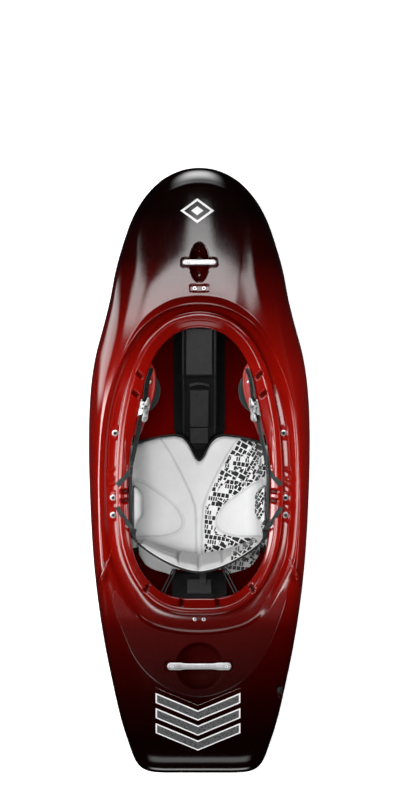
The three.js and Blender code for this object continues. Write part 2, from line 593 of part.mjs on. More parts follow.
// --------------------------------------------------- thigh braces, pads, straps
const both = (name, geo, material) => {
  add(`${name}_left`, geo, material);
  add(`${name}_right`, mirrored(geo), material);
};
const openX = (y) => table([...OPENING.map((p) => p[1])].reverse(), [...OPENING.map((p) => p[0])].reverse(), y);
const BRACE_Y = [326, 300, 268, 230, 190, 150, 112];
const BRACE_IN = [141, 131, 129, 135, 148, 162, 177];
const braceRow = (i, dz) => [0, 0.45, 1].map((u) => {
  const y = BRACE_Y[i], x0 = BRACE_IN[i], x1 = openX(y) + 13;
  return V(-lerp(x0, x1, u), y, rimZ(y) + lerp(-48, -31, u) + dz);
});
let brace = toSolid(sheet(BRACE_Y.map((_, i) => braceRow(i, 0)), BRACE_Y.map((_, i) => braceRow(i, -5))));
const BOLT = V(-148, 272, rimZ(272) - 41);
const PAD_TRAVEL = V(-11.5, -39.4, rimZ(232.6) - rimZ(272));
const slotDir = PAD_TRAVEL.clone().normalize();
{
  const box = new THREE.BoxGeometry(8, PAD_TRAVEL.length(), 40);
  const mid = BOLT.clone().addScaledVector(PAD_TRAVEL, 0.5);
  const yaw = Math.atan2(PAD_TRAVEL.x, -PAD_TRAVEL.y);
  brace = brace.subtract(toSolid(moved(box, at(mid.x, mid.y, mid.z, 0, 0, yaw))));
  for (const u of [0, 1]) {
    const c = BOLT.clone().addScaledVector(PAD_TRAVEL, u);
    const cyl = new THREE.CylinderGeometry(4.05, 4.05, 40, 12);
    cyl.rotateX(Math.PI / 2);
    brace = brace.subtract(toSolid(moved(cyl, at(c.x, c.y, c.z))));
  }
}
both('thigh_brace', toGeo(brace), MAT.brace);
{
  const rows = [[292, 134, 156], [262, 119, 160], [222, 121, 166], [184, 150, 170]];
  const mk = (dz, crownDz) => rows.map(([y, a, b], i) => [0, 0.5, 1].map((u) => V(-lerp(a, b, u), y,
    rimZ(y) - 62 + lerp(0, 6, u) + dz + (i % 3 && u === 0.5 ? crownDz : 0))));
  let pad = toSolid(sheet(mk(0, 0), mk(-12, -5)));
  const hole = new THREE.CylinderGeometry(2.9, 2.9, 60, 10);
  hole.rotateX(Math.PI / 2);
  pad = pad.subtract(toSolid(moved(hole, at(BOLT.x, BOLT.y, BOLT.z - 20))));
  both('thigh_pad', toGeo(pad), MAT.foam);
  const bolt = ring2([[0, -31], [2.4, -30], [2.4, 0], [4.6, 0], [4.6, 2], [3, 3.4], [0, 3.4]], 10);
  bolt.rotateX(Math.PI / 2);
  both('thigh_pad_bolt', moved(bolt, at(BOLT.x, BOLT.y, BOLT.z + 3.8)), MAT.steel);
}

const upIn = V(-0.5, 0, 0.866);
const strapZ = (y) => rimZ(y) - 13;
const LADDER = [V(-143, 312, 364.2), V(-201, 38, 325.8)];
both('ladder_strap', strap(LADDER, upIn, 25, 2), MAT.plastic);

// Ratchet on the ladder strap: local x along the strap to the bow, z off its face.
const RAT = LADDER[1].clone().lerp(LADDER[0], (192 - 38) / (312 - 38));
const ratS = LADDER[0].clone().sub(LADDER[1]).normalize();
const ratT = upIn.clone().addScaledVector(ratS, -upIn.dot(ratS)).normalize();
const ratN = ratS.clone().cross(ratT).normalize();
const ratFrame = new THREE.Matrix4().makeBasis(ratS, ratT, ratN).setPosition(RAT);
{
  const box = (x0, x1, y0, y1, z0, z1) => {
    const g = new THREE.BoxGeometry(x1 - x0, y1 - y0, z1 - z0);
    g.translate((x0 + x1) / 2, (y0 + y1) / 2, (z0 + z1) / 2);
    return g;
  };
  let base = toSolid(box(-27, 27, -16, 16, -5, -2.6));
  for (const k of [-1, 1]) base = base.add(toSolid(box(-16, 20, Math.min(k * 13.6, k * 16), Math.max(k * 13.6, k * 16), -3, 11)));
  for (const x of [2, 15]) {
    const pin = new THREE.CylinderGeometry(1.8, 1.8, 30, 10);
    base = base.add(toSolid(moved(pin, at(x, 0, 7))));
  }
  both('ratchet_base', moved(toGeo(base), ratFrame), MAT.grey);
  const plate = (pts, y, hx) => {
    const g = new THREE.ExtrudeGeometry(new THREE.Shape(pts.map(([a, b]) => new THREE.Vector2(a, b))), { depth: 2 * y, bevelEnabled: false });
    g.rotateX(Math.PI / 2);
    g.translate(0, y, 0);
    const bore = new THREE.CylinderGeometry(2.25, 2.25, 40, 10);
    bore.translate(hx, 0, 7);
    return toGeo(toSolid(g).subtract(toSolid(bore)));
  };
  both('ratchet_lever', moved(plate([[-1.6, 3.4], [6, 3.4], [6, 11], [2, 14], [-30, 16], [-37, 13], [-36, 10], [-20, 9.4], [-3, 9.4]], 13.1, 2), ratFrame), MAT.grey);
  both('ratchet_release', moved(plate([[11, 2.4], [18.8, 2.4], [19, 8], [34, 9.5], [36, 12], [19, 13.5], [11.4, 12]], 13.1, 15), ratFrame), MAT.grey);
  // Ladder-lock buckle behind the ladder strap, its window along the webbing.
  const bx = V(-205, 12, strapZ(12) - 5);
  const bs = V(4, 46, 7).normalize();
  const bt = V(-0.2, 0, 1).addScaledVector(bs, -V(-0.2, 0, 1).dot(bs)).normalize();
  const bf = new THREE.Matrix4().makeBasis(bs, bt, bs.clone().cross(bt)).setPosition(bx);
  let lock = toSolid(box(-24, 24, -15, 15, -2.2, 2.2));
  lock = lock.subtract(toSolid(box(-19, -2, -11.5, 11.5, -5, 5))).subtract(toSolid(box(2, 19, -11.5, 11.5, -5, 5)));
  both('ladder_lock', moved(toGeo(lock), bf), MAT.plastic);
}
const up = V(0, 0, 1);
const onRim = (x, y, h) => V(x, y, topZ(x, y, 7) + h);
both('side_webbing', strap([V(-207, -13.5, strapZ(-14) - 9), V(-208.5, -60, 293), V(-208.5, -110, 276),
  V(-207.5, -160, 250), V(-205, -196, 220), V(-192, -212, 205)], up, 22, 2), MAT.webbing);
both('front_anchor_webbing', strap([onRim(-215, -4, 7), onRim(-221, -12, 5.5), onRim(-230, -22, 3.6), onRim(-241, -34, 2.8)], V(0.75, -0.65, 0), 16, 1.6), MAT.webbing);
both('rear_anchor_webbing', strap([onRim(-243, -111, 2.4), onRim(-233, -128, 3), onRim(-219, -150, 4.5),
  V(-202, -168, rimZ(-168) - 1), V(-198, -182, 294), V(-197.5, -199, 262), V(-190, -213, 240)],
  [V(1, 0.5, 0), V(1, 0.5, 0), V(1, 0.5, 0.2), V(0.8, 0.4, 0.6), V(0.3, 0.2, 1), V(0.3, 0.2, 1), V(0.3, 0.2, 1)], 14, 1.6), MAT.webbing);
{
  const from = V(-202, -168, rimZ(-168) - 1), to = V(-198, -182, 294);
  const c = from.clone().add(to).multiplyScalar(0.5);
  const s = from.clone().sub(to).normalize();
  const wd = V(0.55, 0.3, 0.8).addScaledVector(s, -V(0.55, 0.3, 0.8).dot(s)).normalize();
  const f = new THREE.Matrix4().makeBasis(s, wd, s.clone().cross(wd)).setPosition(c);
  const sleeve = toSolid(new THREE.BoxGeometry(9, 21, 9)).subtract(toSolid(new THREE.BoxGeometry(30, 17, 6.4)));
  both('rear_buckle', moved(toGeo(sleeve), f), MAT.plastic);
}

// Elastic loops from the band's back to the rim, and the band's centre strap.
{
  const a = V(-78, -303, 232), b = V(-113, -371, 262);
  const side = V(b.y - a.y, a.x - b.x, 0).normalize().multiplyScalar(-4.5);
  const pts = [a.clone().add(side), a.clone().lerp(b, 0.5).add(side.clone().multiplyScalar(1.4)).add(V(0, 0, -3)),
    b.clone().add(side.clone().multiplyScalar(0.8)), b.clone().lerp(a, -0.05),
    b.clone().sub(side.clone().multiplyScalar(0.8)),
    a.clone().lerp(b, 0.5).sub(side.clone().multiplyScalar(1.4)).add(V(0, 0, -3)), a.clone().sub(side)];
  const path = new THREE.CatmullRomCurve3(pts, false, 'centripetal');
  const c = new THREE.Shape();
  for (let i = 0; i < 8; i++) {
    const q = i / 8 * Math.PI * 2;
    c[i ? 'lineTo' : 'moveTo'](1.9 * Math.cos(q), 1.9 * Math.sin(q));
  }
  c.closePath();
  const loop = new THREE.ExtrudeGeometry(c, { steps: 22, extrudePath: path, bevelEnabled: false });
  both('bungee_loop', outward(mergeVertices(bare(loop), 1e-4)), MAT.cord);
}
add('rear_strap', strap([V(11, -302.5, 176), V(11, -316, 196), V(11, -327, 206), V(11, -341, 226)], V(1, 0, 0), 19, 1.8), MAT.webbing);

add('hull_shell', toGeo(shell), MAT.shell);

export default kayak;
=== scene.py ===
# Short whitewater playboat with its outfitting, seen from straight above.
# Lengths in the geometry code are millimetres; meshes are written in metres.
import math

import bmesh
import bpy
import numpy as np
from mathutils import Matrix, Vector
from mathutils.bvhtree import BVHTree


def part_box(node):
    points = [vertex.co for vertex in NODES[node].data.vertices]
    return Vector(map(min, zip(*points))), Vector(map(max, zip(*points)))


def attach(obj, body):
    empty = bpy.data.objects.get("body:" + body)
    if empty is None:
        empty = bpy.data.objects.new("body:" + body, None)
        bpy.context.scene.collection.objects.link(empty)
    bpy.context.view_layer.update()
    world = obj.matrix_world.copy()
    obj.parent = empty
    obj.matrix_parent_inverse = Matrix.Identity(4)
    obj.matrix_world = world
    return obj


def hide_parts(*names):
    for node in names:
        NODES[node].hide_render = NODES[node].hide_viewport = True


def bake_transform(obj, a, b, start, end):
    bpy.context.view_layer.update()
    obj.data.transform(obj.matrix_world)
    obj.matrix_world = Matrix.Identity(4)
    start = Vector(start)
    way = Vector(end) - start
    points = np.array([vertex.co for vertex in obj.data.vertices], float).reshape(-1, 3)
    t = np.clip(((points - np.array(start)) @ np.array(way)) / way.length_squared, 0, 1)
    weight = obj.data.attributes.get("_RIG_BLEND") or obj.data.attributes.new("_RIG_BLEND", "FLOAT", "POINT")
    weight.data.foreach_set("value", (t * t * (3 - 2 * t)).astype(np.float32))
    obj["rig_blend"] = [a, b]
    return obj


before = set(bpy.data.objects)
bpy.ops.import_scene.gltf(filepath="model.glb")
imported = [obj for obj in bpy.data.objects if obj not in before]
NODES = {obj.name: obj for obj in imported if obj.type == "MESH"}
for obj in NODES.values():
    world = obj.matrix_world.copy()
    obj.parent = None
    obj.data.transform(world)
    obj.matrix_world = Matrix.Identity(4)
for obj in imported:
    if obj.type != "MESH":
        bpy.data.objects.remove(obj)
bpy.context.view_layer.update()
MM = 0.001


# ------------------------------------------------------------------ camera
cam_data = bpy.data.cameras.new("camera")
cam = bpy.data.objects.new("camera", cam_data)
bpy.context.scene.collection.objects.link(cam)
CAM_Z, AIM_Z, SPAN = 9.25, 0.25, 2.424
cam_data.sensor_width = 36
cam_data.lens = 36 * (CAM_Z - AIM_Z) / SPAN
cam_data.clip_end = 60
cam.location = (0.0021, 0.217, CAM_Z)
cam.rotation_euler = (0, 0, 0)
bpy.context.scene.camera = cam


# ------------------------------------------------------------------ numbers
def clamp(v, a, b):
    return np.minimum(b, np.maximum(a, v))


def smooth(v):
    t = clamp(v, 0.0, 1.0)
    return t * t * (3 - 2 * t)


def lerp(a, b, t):
    return a + (b - a) * t


def pchip(xs, ys, x):
    """Monotone cubic through the points."""
    xs, ys, x = np.asarray(xs, float), np.asarray(ys, float), np.asarray(x, float)
    h, d = np.diff(xs), np.diff(ys) / np.diff(xs)
    m = np.zeros(len(xs))
    for i in range(1, len(xs) - 1):
        if d[i - 1] * d[i] > 0:
            w1, w2 = 2 * h[i] + h[i - 1], h[i] + 2 * h[i - 1]
            m[i] = (w1 + w2) / (w1 / d[i - 1] + w2 / d[i])
    m[0], m[-1] = d[0], d[-1]
    k = np.clip(np.searchsorted(xs, x) - 1, 0, len(xs) - 2)
    t = np.clip((x - xs[k]) / h[k], 0, 1)
    return (ys[k] * (1 + 2 * t) * (1 - t) ** 2 + m[k] * h[k] * t * (1 - t) ** 2
            + ys[k + 1] * t * t * (3 - 2 * t) + m[k + 1] * h[k] * t * t * (t - 1))


def gauss1d(a, sigma):
    """Smooths a row of samples and keeps its two ends."""
    n = int(4 * sigma) + 1
    left, right = 2 * a[0] - a[n:0:-1], 2 * a[-1] - a[-2:-n - 2:-1]
    full = np.concatenate([left, a, right])
    k = np.exp(-0.5 * (np.arange(-n, n + 1) / sigma) ** 2)
    return np.convolve(full, k / k.sum(), "valid")


def catmull(p0, p1, p2, p3, t):
    """Centripetal Catmull-Rom between p1 and p2; rows of points."""
    d = [np.maximum(np.linalg.norm(b - a, axis=-1, keepdims=True), 1e-9) ** 0.5
         for a, b in ((p0, p1), (p1, p2), (p2, p3))]
    m1 = ((p1 - p0) / d[0] - (p2 - p0) / (d[0] + d[1]) + (p2 - p1) / d[1]) * d[1]
    m2 = ((p2 - p1) / d[1] - (p3 - p1) / (d[1] + d[2]) + (p3 - p2) / d[2]) * d[1]
    return (p1 * (1 + 2 * t) * (1 - t) ** 2 + m1 * t * (1 - t) ** 2
            + p2 * t * t * (3 - 2 * t) + m2 * t * t * (t - 1))


class Closed:
    """Closed plan curve by share of its length, symmetric about x = 0."""

    def __init__(self, half, sigma, n=4096):
        P = np.array(list(half) + [(-x, y) for x, y in half[1:-1]][::-1], float)
        pts = []
        for i in range(len(P)):
            a, b, c, d = (P[(i + k) % len(P)][None] for k in (-1, 0, 1, 2))
            pts.append(catmull(a, b, c, d, np.linspace(0, 1, 40, endpoint=False)[:, None]))
        Q = self.even(np.concatenate(pts), n)
        length = np.linalg.norm(np.roll(Q, -1, 0) - Q, axis=1).sum()
        k = np.arange(n // 2 + 1)
        damp = np.exp(-2 * (math.pi * k * sigma / length) ** 2)[:, None]
        Q = np.fft.irfft(np.fft.rfft(Q, axis=0) * damp, n, axis=0)
        self.q = self.even(Q, n)
        self.n = n

    @staticmethod
    def even(Q, n):
        Q = np.concatenate([Q, Q[:1]])
        s = np.concatenate([[0], np.cumsum(np.linalg.norm(np.diff(Q, axis=0), axis=1))])
        u = np.linspace(0, s[-1], n, endpoint=False)
        return np.stack([np.interp(u, s, Q[:, 0]), np.interp(u, s, Q[:, 1])], 1)

    def __call__(self, t):
        u = (np.asarray(t, float) % 1) * self.n
        i = np.floor(u).astype(int) % self.n
        f = (u - np.floor(u))[..., None]
        return self.q[i] * (1 - f) + self.q[(i + 1) % self.n] * f


# ------------------------------------------------------------- hull's shape
HALF_LENGTH, WALL, FLAT_Y = 915.0, 6.0, 330.0
BOW_ROCKER, STERN_ROCKER = 285.0, 200.0
SEAM_MID, SEAM_BOW, SEAM_STERN = 190.0, 315.0, 222.0
BOW_HANDLE_Y, STERN_HANDLE_Y = 628.0, -588.0
OUTLINE = Closed([(0, 915), (45, 910), (89, 893), (122, 872), (168, 823), (203, 763), (226, 702),
                  (253, 611), (271, 520), (294, 430), (311, 369), (323, 308), (331, 240), (335.5, 157), (336, 36),
                  (333, -70), (328, -180), (319, -300), (304, -425), (285, -540), (261, -655), (236, -760),
                  (213, -830), (197, -873), (182, -896), (160, -909), (125, -914.2), (60, -915), (0, -915)], 11)
RIDGE = Closed([(0, 504), (62, 497), (119, 474), (170, 435), (222, 360), (262, 270), (284, 190),
                (296, 105), (301, 10), (301, -80), (296, -190), (284, -280), (255, -349), (208, -428),
                (130, -475), (0, -494)], 14)
LIP = Closed([(0, 481), (52, 474), (98, 455), (151, 405), (189, 340), (212, 275), (228, 210),
              (240, 140), (247, 60), (250, -10), (251, -80), (249, -140), (242, -205), (225, -270),
              (192, -338), (143, -395), (85, -424), (0, -432)], 12)
OPENING = Closed([(0, 433), (40, 428), (76, 412), (119, 371), (146, 322), (170, 235), (188, 150),
                  (203, 85), (210, 30), (213, -30), (212, -120), (207, -197), (192, -262), (163, -317),
                  (116, -362), (58, -380), (0, -381)], 12)

F_AT = [0, 0.1, 0.28, 0.5, 0.7, 0.85, 0.95, 1]
F_LONG = [1, 0.982, 0.93, 0.82, 0.68, 0.55, 0.34, 0]
F_SHORT = [1, 0.975, 0.90, 0.74, 0.54, 0.35, 0.16, 0]
G_AT = [0, 0.35, 0.46, 0.57, 0.68, 0.78, 0.84, 0.9, 0.95, 0.985, 1]
G_LONG = [0, 0, 0, 0, 0, 0, 0.01, 0.05, 0.17, 0.5, 1]
G_SHORT = [0, 0, 0, 0, 0, 0, 0.05, 0.2, 0.48, 0.8, 1]


def share_table(at, values, sigma=9):
    """The table by u, where at = 1 - (1 - u)^2, so that the section turns upright at its end."""
    u = 1 - np.sqrt(1 - np.asarray(at, float))
    grid = np.linspace(0, 1, 401)
    fine = gauss1d(pchip(u, values, grid), sigma)
    return lambda f: np.interp(1 - math.sqrt(max(0.0, 1 - f)), grid, fine)


f_long, f_short = share_table(F_AT, F_LONG), share_table(F_AT, F_SHORT)
f_bow = share_table([0, 0.1, 0.28, 0.5, 0.7, 0.84, 0.868, 0.90, 0.94, 0.975, 1],
                    [1, 0.985, 0.94, 0.84, 0.715, 0.612, 0.585, 0.50, 0.375, 0.22, 0], 3.2)
g_long, g_short = share_table(G_AT, G_LONG, 7), share_table(G_AT, G_SHORT, 7)


def rim_z(y):
    return 300 + 105 * clamp((y + 432) / 913, 0, 1) ** 1.5


def keel_z(y):
    bow = BOW_ROCKER * np.maximum(0, (y - FLAT_Y) / (HALF_LENGTH - FLAT_Y)) ** 1.75
    stern = STERN_ROCKER * np.maximum(0, (-y - FLAT_Y) / (HALF_LENGTH - FLAT_Y)) ** 1.7
    return bow + stern


def seam_z(y):
    a = np.abs(y) / HALF_LENGTH
    return np.where(y > 0, SEAM_MID + (SEAM_BOW - SEAM_MID) * a ** 2.2,
                    SEAM_MID + (SEAM_STERN - SEAM_MID) * a ** 2)


def ridge_z(y):
    return rim_z(y) - 14 - 8 * smooth((-y - 250) / 200)


def long_share(t):
    return smooth((np.linalg.norm(OUTLINE(t) - RIDGE(t), axis=-1) - 45) / 220)


def deck_ring(t, f):
    o, r, s = OUTLINE(t), RIDGE(t), long_share(t)
    share = lerp(f_short(f), f_long(f), s)
    share = lerp(share, f_bow(f), smooth((o[:, 1] - 700) / 110))
    zs, zr = seam_z(o[:, 1]), ridge_z(r[:, 1])
    xy = lerp(r, o, f)
    # The foredeck climbs to the crest in front of the cockpit.
    crest = 7.0 * smooth((r[:, 1] - 330) / 130) * (1 - smooth(f / 0.07))
    return np.column_stack([xy, zs + (zr - zs) * share + crest])


def bottom_ring(t, g):
    o, s = OUTLINE(t), long_share(t)
    share = lerp(g_short(g), g_long(g), s)
    y = o[:, 1] * g
    return np.column_stack([o[:, 0] * g, y, keel_z(y) + (seam_z(o[:, 1]) - keel_z(o[:, 1])) * share])


def between_ring(t, f, dz):
    l, r = LIP(t), RIDGE(t)
    return np.column_stack([lerp(l, r, f), rim_z(lerp(l[:, 1], r[:, 1], 0.3)) + dz])


def rim_ring(t, a_of, dz):
    i, o = OPENING(t), LIP(t)
    w = np.linalg.norm(o - i, axis=1)
    a = a_of(w)[:, None]
    return np.column_stack([i + (o - i) * a / w[:, None], rim_z((i[:, 1] + o[:, 1]) / 2) + dz])


def cad_deck_z(y):
    """Height of the frame that a grab handle sits in."""
    if y > 0:
        return float(seam_z(915.0) + (ridge_z(504.0) - seam_z(915.0)) * np.interp((y - 504) / 411, F_AT, F_LONG))
    return float(seam_z(-915.0) + (ridge_z(-494.0) - seam_z(-915.0)) * np.interp((-494 - y) / 421, F_AT, F_LONG))


def deck_frame(y):
    tilt = math.atan2(cad_deck_z(y + 30) - cad_deck_z(y - 30), 60)
    return Matrix.Translation((0, y, cad_deck_z(y))) @ Matrix.Rotation(tilt, 4, "X")


def mat_np(m):
    return np.array(m, float)


def apply(m, P):
    m = mat_np(m)
    return P @ m[:3, :3].T + m[:3, 3]


# ----------------------------------------------------------------- meshing
def make_object(name, verts, faces, material=None, unit=MM, smooth_shade=True):
    me = bpy.data.meshes.new(name)
    me.from_pydata((np.asarray(verts, float) * unit).tolist(), [], [list(map(int, f)) for f in faces])
    me.validate()
    me.update()
    if smooth_shade:
        me.polygons.foreach_set("use_smooth", [True] * len(me.polygons))
    ob = bpy.data.objects.new(name, me)
    bpy.context.scene.collection.objects.link(ob)
    if material:
        me.materials.append(material)
    return ob


def signed_volume(V, faces):
    v = 0.0
    for f in faces:
        a = V[f[0]]
        for i in range(1, len(f) - 1):
            v += float(np.dot(a, np.cross(V[f[i]], V[f[i + 1]])))
    return v / 6


def outward(V, faces):
    V = np.asarray(V, float)
    return [f[::-1] for f in faces] if signed_volume(V - V.mean(0), faces) < 0 else faces


def mesh_volume_quads(V, Q):
    a, b, c, d = (V[Q[:, k]] for k in range(4))
    return (np.einsum("ij,ij->i", a, np.cross(b, c)).sum() + np.einsum("ij,ij->i", a, np.cross(c, d)).sum()) / 6


def grid_quads(rows, n):
    """Quads between neighbouring closed rings of n points."""
    i = np.arange(n)
    j = (i + 1) % n
    k = np.arange(rows - 1)[:, None] * n
    return np.stack([k + i, k + j, k + n + j, k + n + i], -1).reshape(-1, 4)


def seg_distance(P, A, B):
    A, B = np.asarray(A, float), np.asarray(B, float)
    d = B - A
    t = np.clip(((P - A) @ d) / (d @ d), 0, 1)
    return np.linalg.norm(P - (A + t[:, None] * d), axis=1)


def polygon_sd(P, poly):
    """Signed distance to a closed plan polygon, negative inside."""
    poly = np.asarray(poly, float)
    best = np.full(len(P), 1e9)
    inside = np.zeros(len(P), bool)
    for a, b in zip(poly, np.roll(poly, -1, 0)):
        best = np.minimum(best, seg_distance(P, a, b))
        cross = (a[1] > P[:, 1]) != (b[1] > P[:, 1])
        with np.errstate(divide="ignore", invalid="ignore"):
            at = (b[0] - a[0]) * (P[:, 1] - a[1]) / (b[1] - a[1]) + a[0]
        inside ^= cross & (P[:, 0] < at)
    return np.where(inside, -best, best)


def box_sd(x, y, half_x, half_y, r):
    qx, qy = np.abs(x) - half_x + r, np.abs(y) - half_y + r
    return np.hypot(np.maximum(qx, 0), np.maximum(qy, 0)) + np.minimum(np.maximum(qx, qy), 0) - r


# -------------------------------------------------------------- hull's mesh
SIDE_SCREWS = ["side_screw_front", "side_screw_middle", "side_screw_rear"]


def node_corners(name):
    """Corners of a piece as the CAD has it, in millimetres."""
    ob = NODES[name]
    P = np.empty(len(ob.data.vertices) * 3)
    ob.data.vertices.foreach_get("co", P)
    P = P.reshape(-1, 3)
    return P * 1000


def t_near(curve, x, y):
    return float(np.argmin(((curve.q - [abs(x), y]) ** 2).sum(1)) / curve.n)


FLANGE_SLOTS = [(180, 293), (193, 236), (226, -58), (226, -86), (160, -352), (55, -396)]
GUTTER_BUMPS = [(267, 5), (267, -23), (267, -38)]
DRAIN_AT = np.array([241.3, -661.6, 239.1])
DRAIN_DIR = np.array([0.859, -0.204, 0.469]) / np.linalg.norm([0.859, -0.204, 0.469])
PANEL_HALF = [(0, -494), (130, -475), (208, -428), (255, -349), (262, -380), (257, -401), (235, -467),
              (192, -573), (122, -640), (53, -672), (0, -681)]
PANEL = PANEL_HALF + [(-x, y) for x, y in PANEL_HALF[1:-1]][::-1]
for _ in range(3):
    # Corners cut until the outline is a smooth curve.
    PANEL = [tuple(lerp(np.array(a, float), np.array(b, float), s)) for a, b in zip(PANEL, PANEL[1:] + PANEL[:1]) for s in (0.25, 0.75)]


def azimuths():
    fine = [t_near(LIP, *p) for p in FLANGE_SLOTS] + [t_near(LIP, 253, y) for y in (118, -77, -130)] \
        + [t_near(LIP, *p) for p in GUTTER_BUMPS]
    drain = t_near(OUTLINE, 262, -661)
    ts, t = [0.0], 0.0
    while t < 0.5:
        step = 0.0024
        if t < 0.021:
            step = 0.0008
        if t > 0.458:
            step = 0.0011
        if min(abs(t - v) for v in fine) < 0.0055:
            step = min(step, 0.0011)
        if abs(t - drain) < 0.0045:
            step = min(step, 0.0007)
        t += step
        ts.append(t)
    half = np.array(ts) * (0.5 / ts[-1])
    return np.concatenate([half, 1 - half[-2:0:-1]])


def screw_seats():
    """Centre and normal of each washer-head screw beside the rim."""
    seats = []
    for base in SIDE_SCREWS:
        for side in ("left", "right"):
            P = node_corners(f"{base}_{side}")
            y = (P[:, 1].max() + P[:, 1].min()) / 2
            slope = math.atan2(rim_z(y + 20) - rim_z(y - 20), 40)
            n = np.array([0, -math.sin(slope), math.cos(slope)])
            c = (P.max(0) + P.min(0)) / 2
            # The head's underside is the widest level of the screw.
            lev = P @ n
            axis = P[lev > lev.max() - 6].mean(0)
            r = np.linalg.norm((P - axis) - np.outer((P - axis) @ n, n), axis=1)
            rim_pts = P[r > 8.2]
            seats.append((axis[0], rim_pts[:, 1].mean(), (rim_pts @ n).min(), n))
    return seats


def sink(P, frame_m, target):
    """Lowers points along the frame's Z with target(x, y, z) -> z."""
    m = mat_np(frame_m)
    inv = np.linalg.inv(m)
    L = P @ inv[:3, :3].T + inv[:3, 3]
    L[:, 2] = target(L[:, 0], L[:, 1], L[:, 2])
    return L @ m[:3, :3].T + m[:3, 3]


def pocket(half_x, half_y, floor, bowl_a, bowl_b, depth, extra=0.0, soft=2.2):
    def target(x, y, z):
        sd = box_sd(x, y, half_x + extra, half_y + extra, 8 + extra)
        w = smooth((-sd + soft) / (2 * soft))
        z1 = np.where(z > floor - extra, lerp(z, floor - extra, w), z)
        rho = np.hypot(x / (bowl_a + extra), y / (bowl_b + extra))
        bowl = -(depth + extra) * (1 - np.clip(rho, 0, 1) ** 2.4) ** 0.62 + 1.5 * smooth((rho - 0.86) / 0.14)
        near = (np.abs(z) < 90) & (rho < 1)
        return np.where(near, np.minimum(z1, bowl), z1)
    return target


def deck_features(P, extra=0.0):
    near = P[:, 1] > 540
    if near.any():
        P[near] = sink(P[near], deck_frame(BOW_HANDLE_Y), pocket(54.5, 12.5, -7, 28.5, 59.5, 42, extra))
    near = (P[:, 1] < -495) & (P[:, 1] > -700)
    if near.any():
        P[near] = sink(P[near], deck_frame(STERN_HANDLE_Y), pocket(102, 16, -7, 71, 72, 46, extra))
    return P


def outer_features(P):
    P = deck_features(P)
    near = (np.abs(P[:, 0]) < 60) & (P[:, 1] > 520) & (P[:, 1] < 580)

    def recess(x, y, z):
        w = smooth((1.2 - box_sd(x, y, 28.5, 10, 4)) / 2.4)
        return lerp(z, np.minimum(z, -2.2), w)
    P[near] = sink(P[near], deck_frame(550), recess)
    # Diagonal crease behind the cockpit, one on each side.
    near = (P[:, 1] < -160) & (P[:, 1] > -380) & (P[:, 2] > 190)
    Q = P[near]
    q = np.column_stack([np.abs(Q[:, 0]), Q[:, 1]])
    for A, B, lo, hi in (((268.8, -249.2), (301.0, -336.0), 2.0, 3.0),):
        A, B = np.array(A), np.array(B)
        u = np.clip((q - A) @ (B - A) / ((B - A) @ (B - A)), 0, 1)
        off = q - (A + u[:, None] * (B - A))
        d = np.linalg.norm(off, axis=1)
        # Steep on the outboard side, gentle on the inboard one.
        sig = np.where(off[:, 0] > 0, 6.0, 9.5)
        Q[:, 2] += lerp(lo, hi, u) * np.exp(-0.5 * (d / sig) ** 2)
    P[near] = Q
    # Drain recess.
    near = np.linalg.norm(P - DRAIN_AT, axis=1) < 60
    Q = P[near]
    lev = (Q - DRAIN_AT) @ DRAIN_DIR
    r = np.linalg.norm((Q - DRAIN_AT) - np.outer(lev, DRAIN_DIR), axis=1)
    w = smooth((15.7 + 0.8 - r) / 1.6)
    Q = Q - np.outer(w * np.maximum(lev, 0), DRAIN_DIR)
    P[near] = Q
    return P


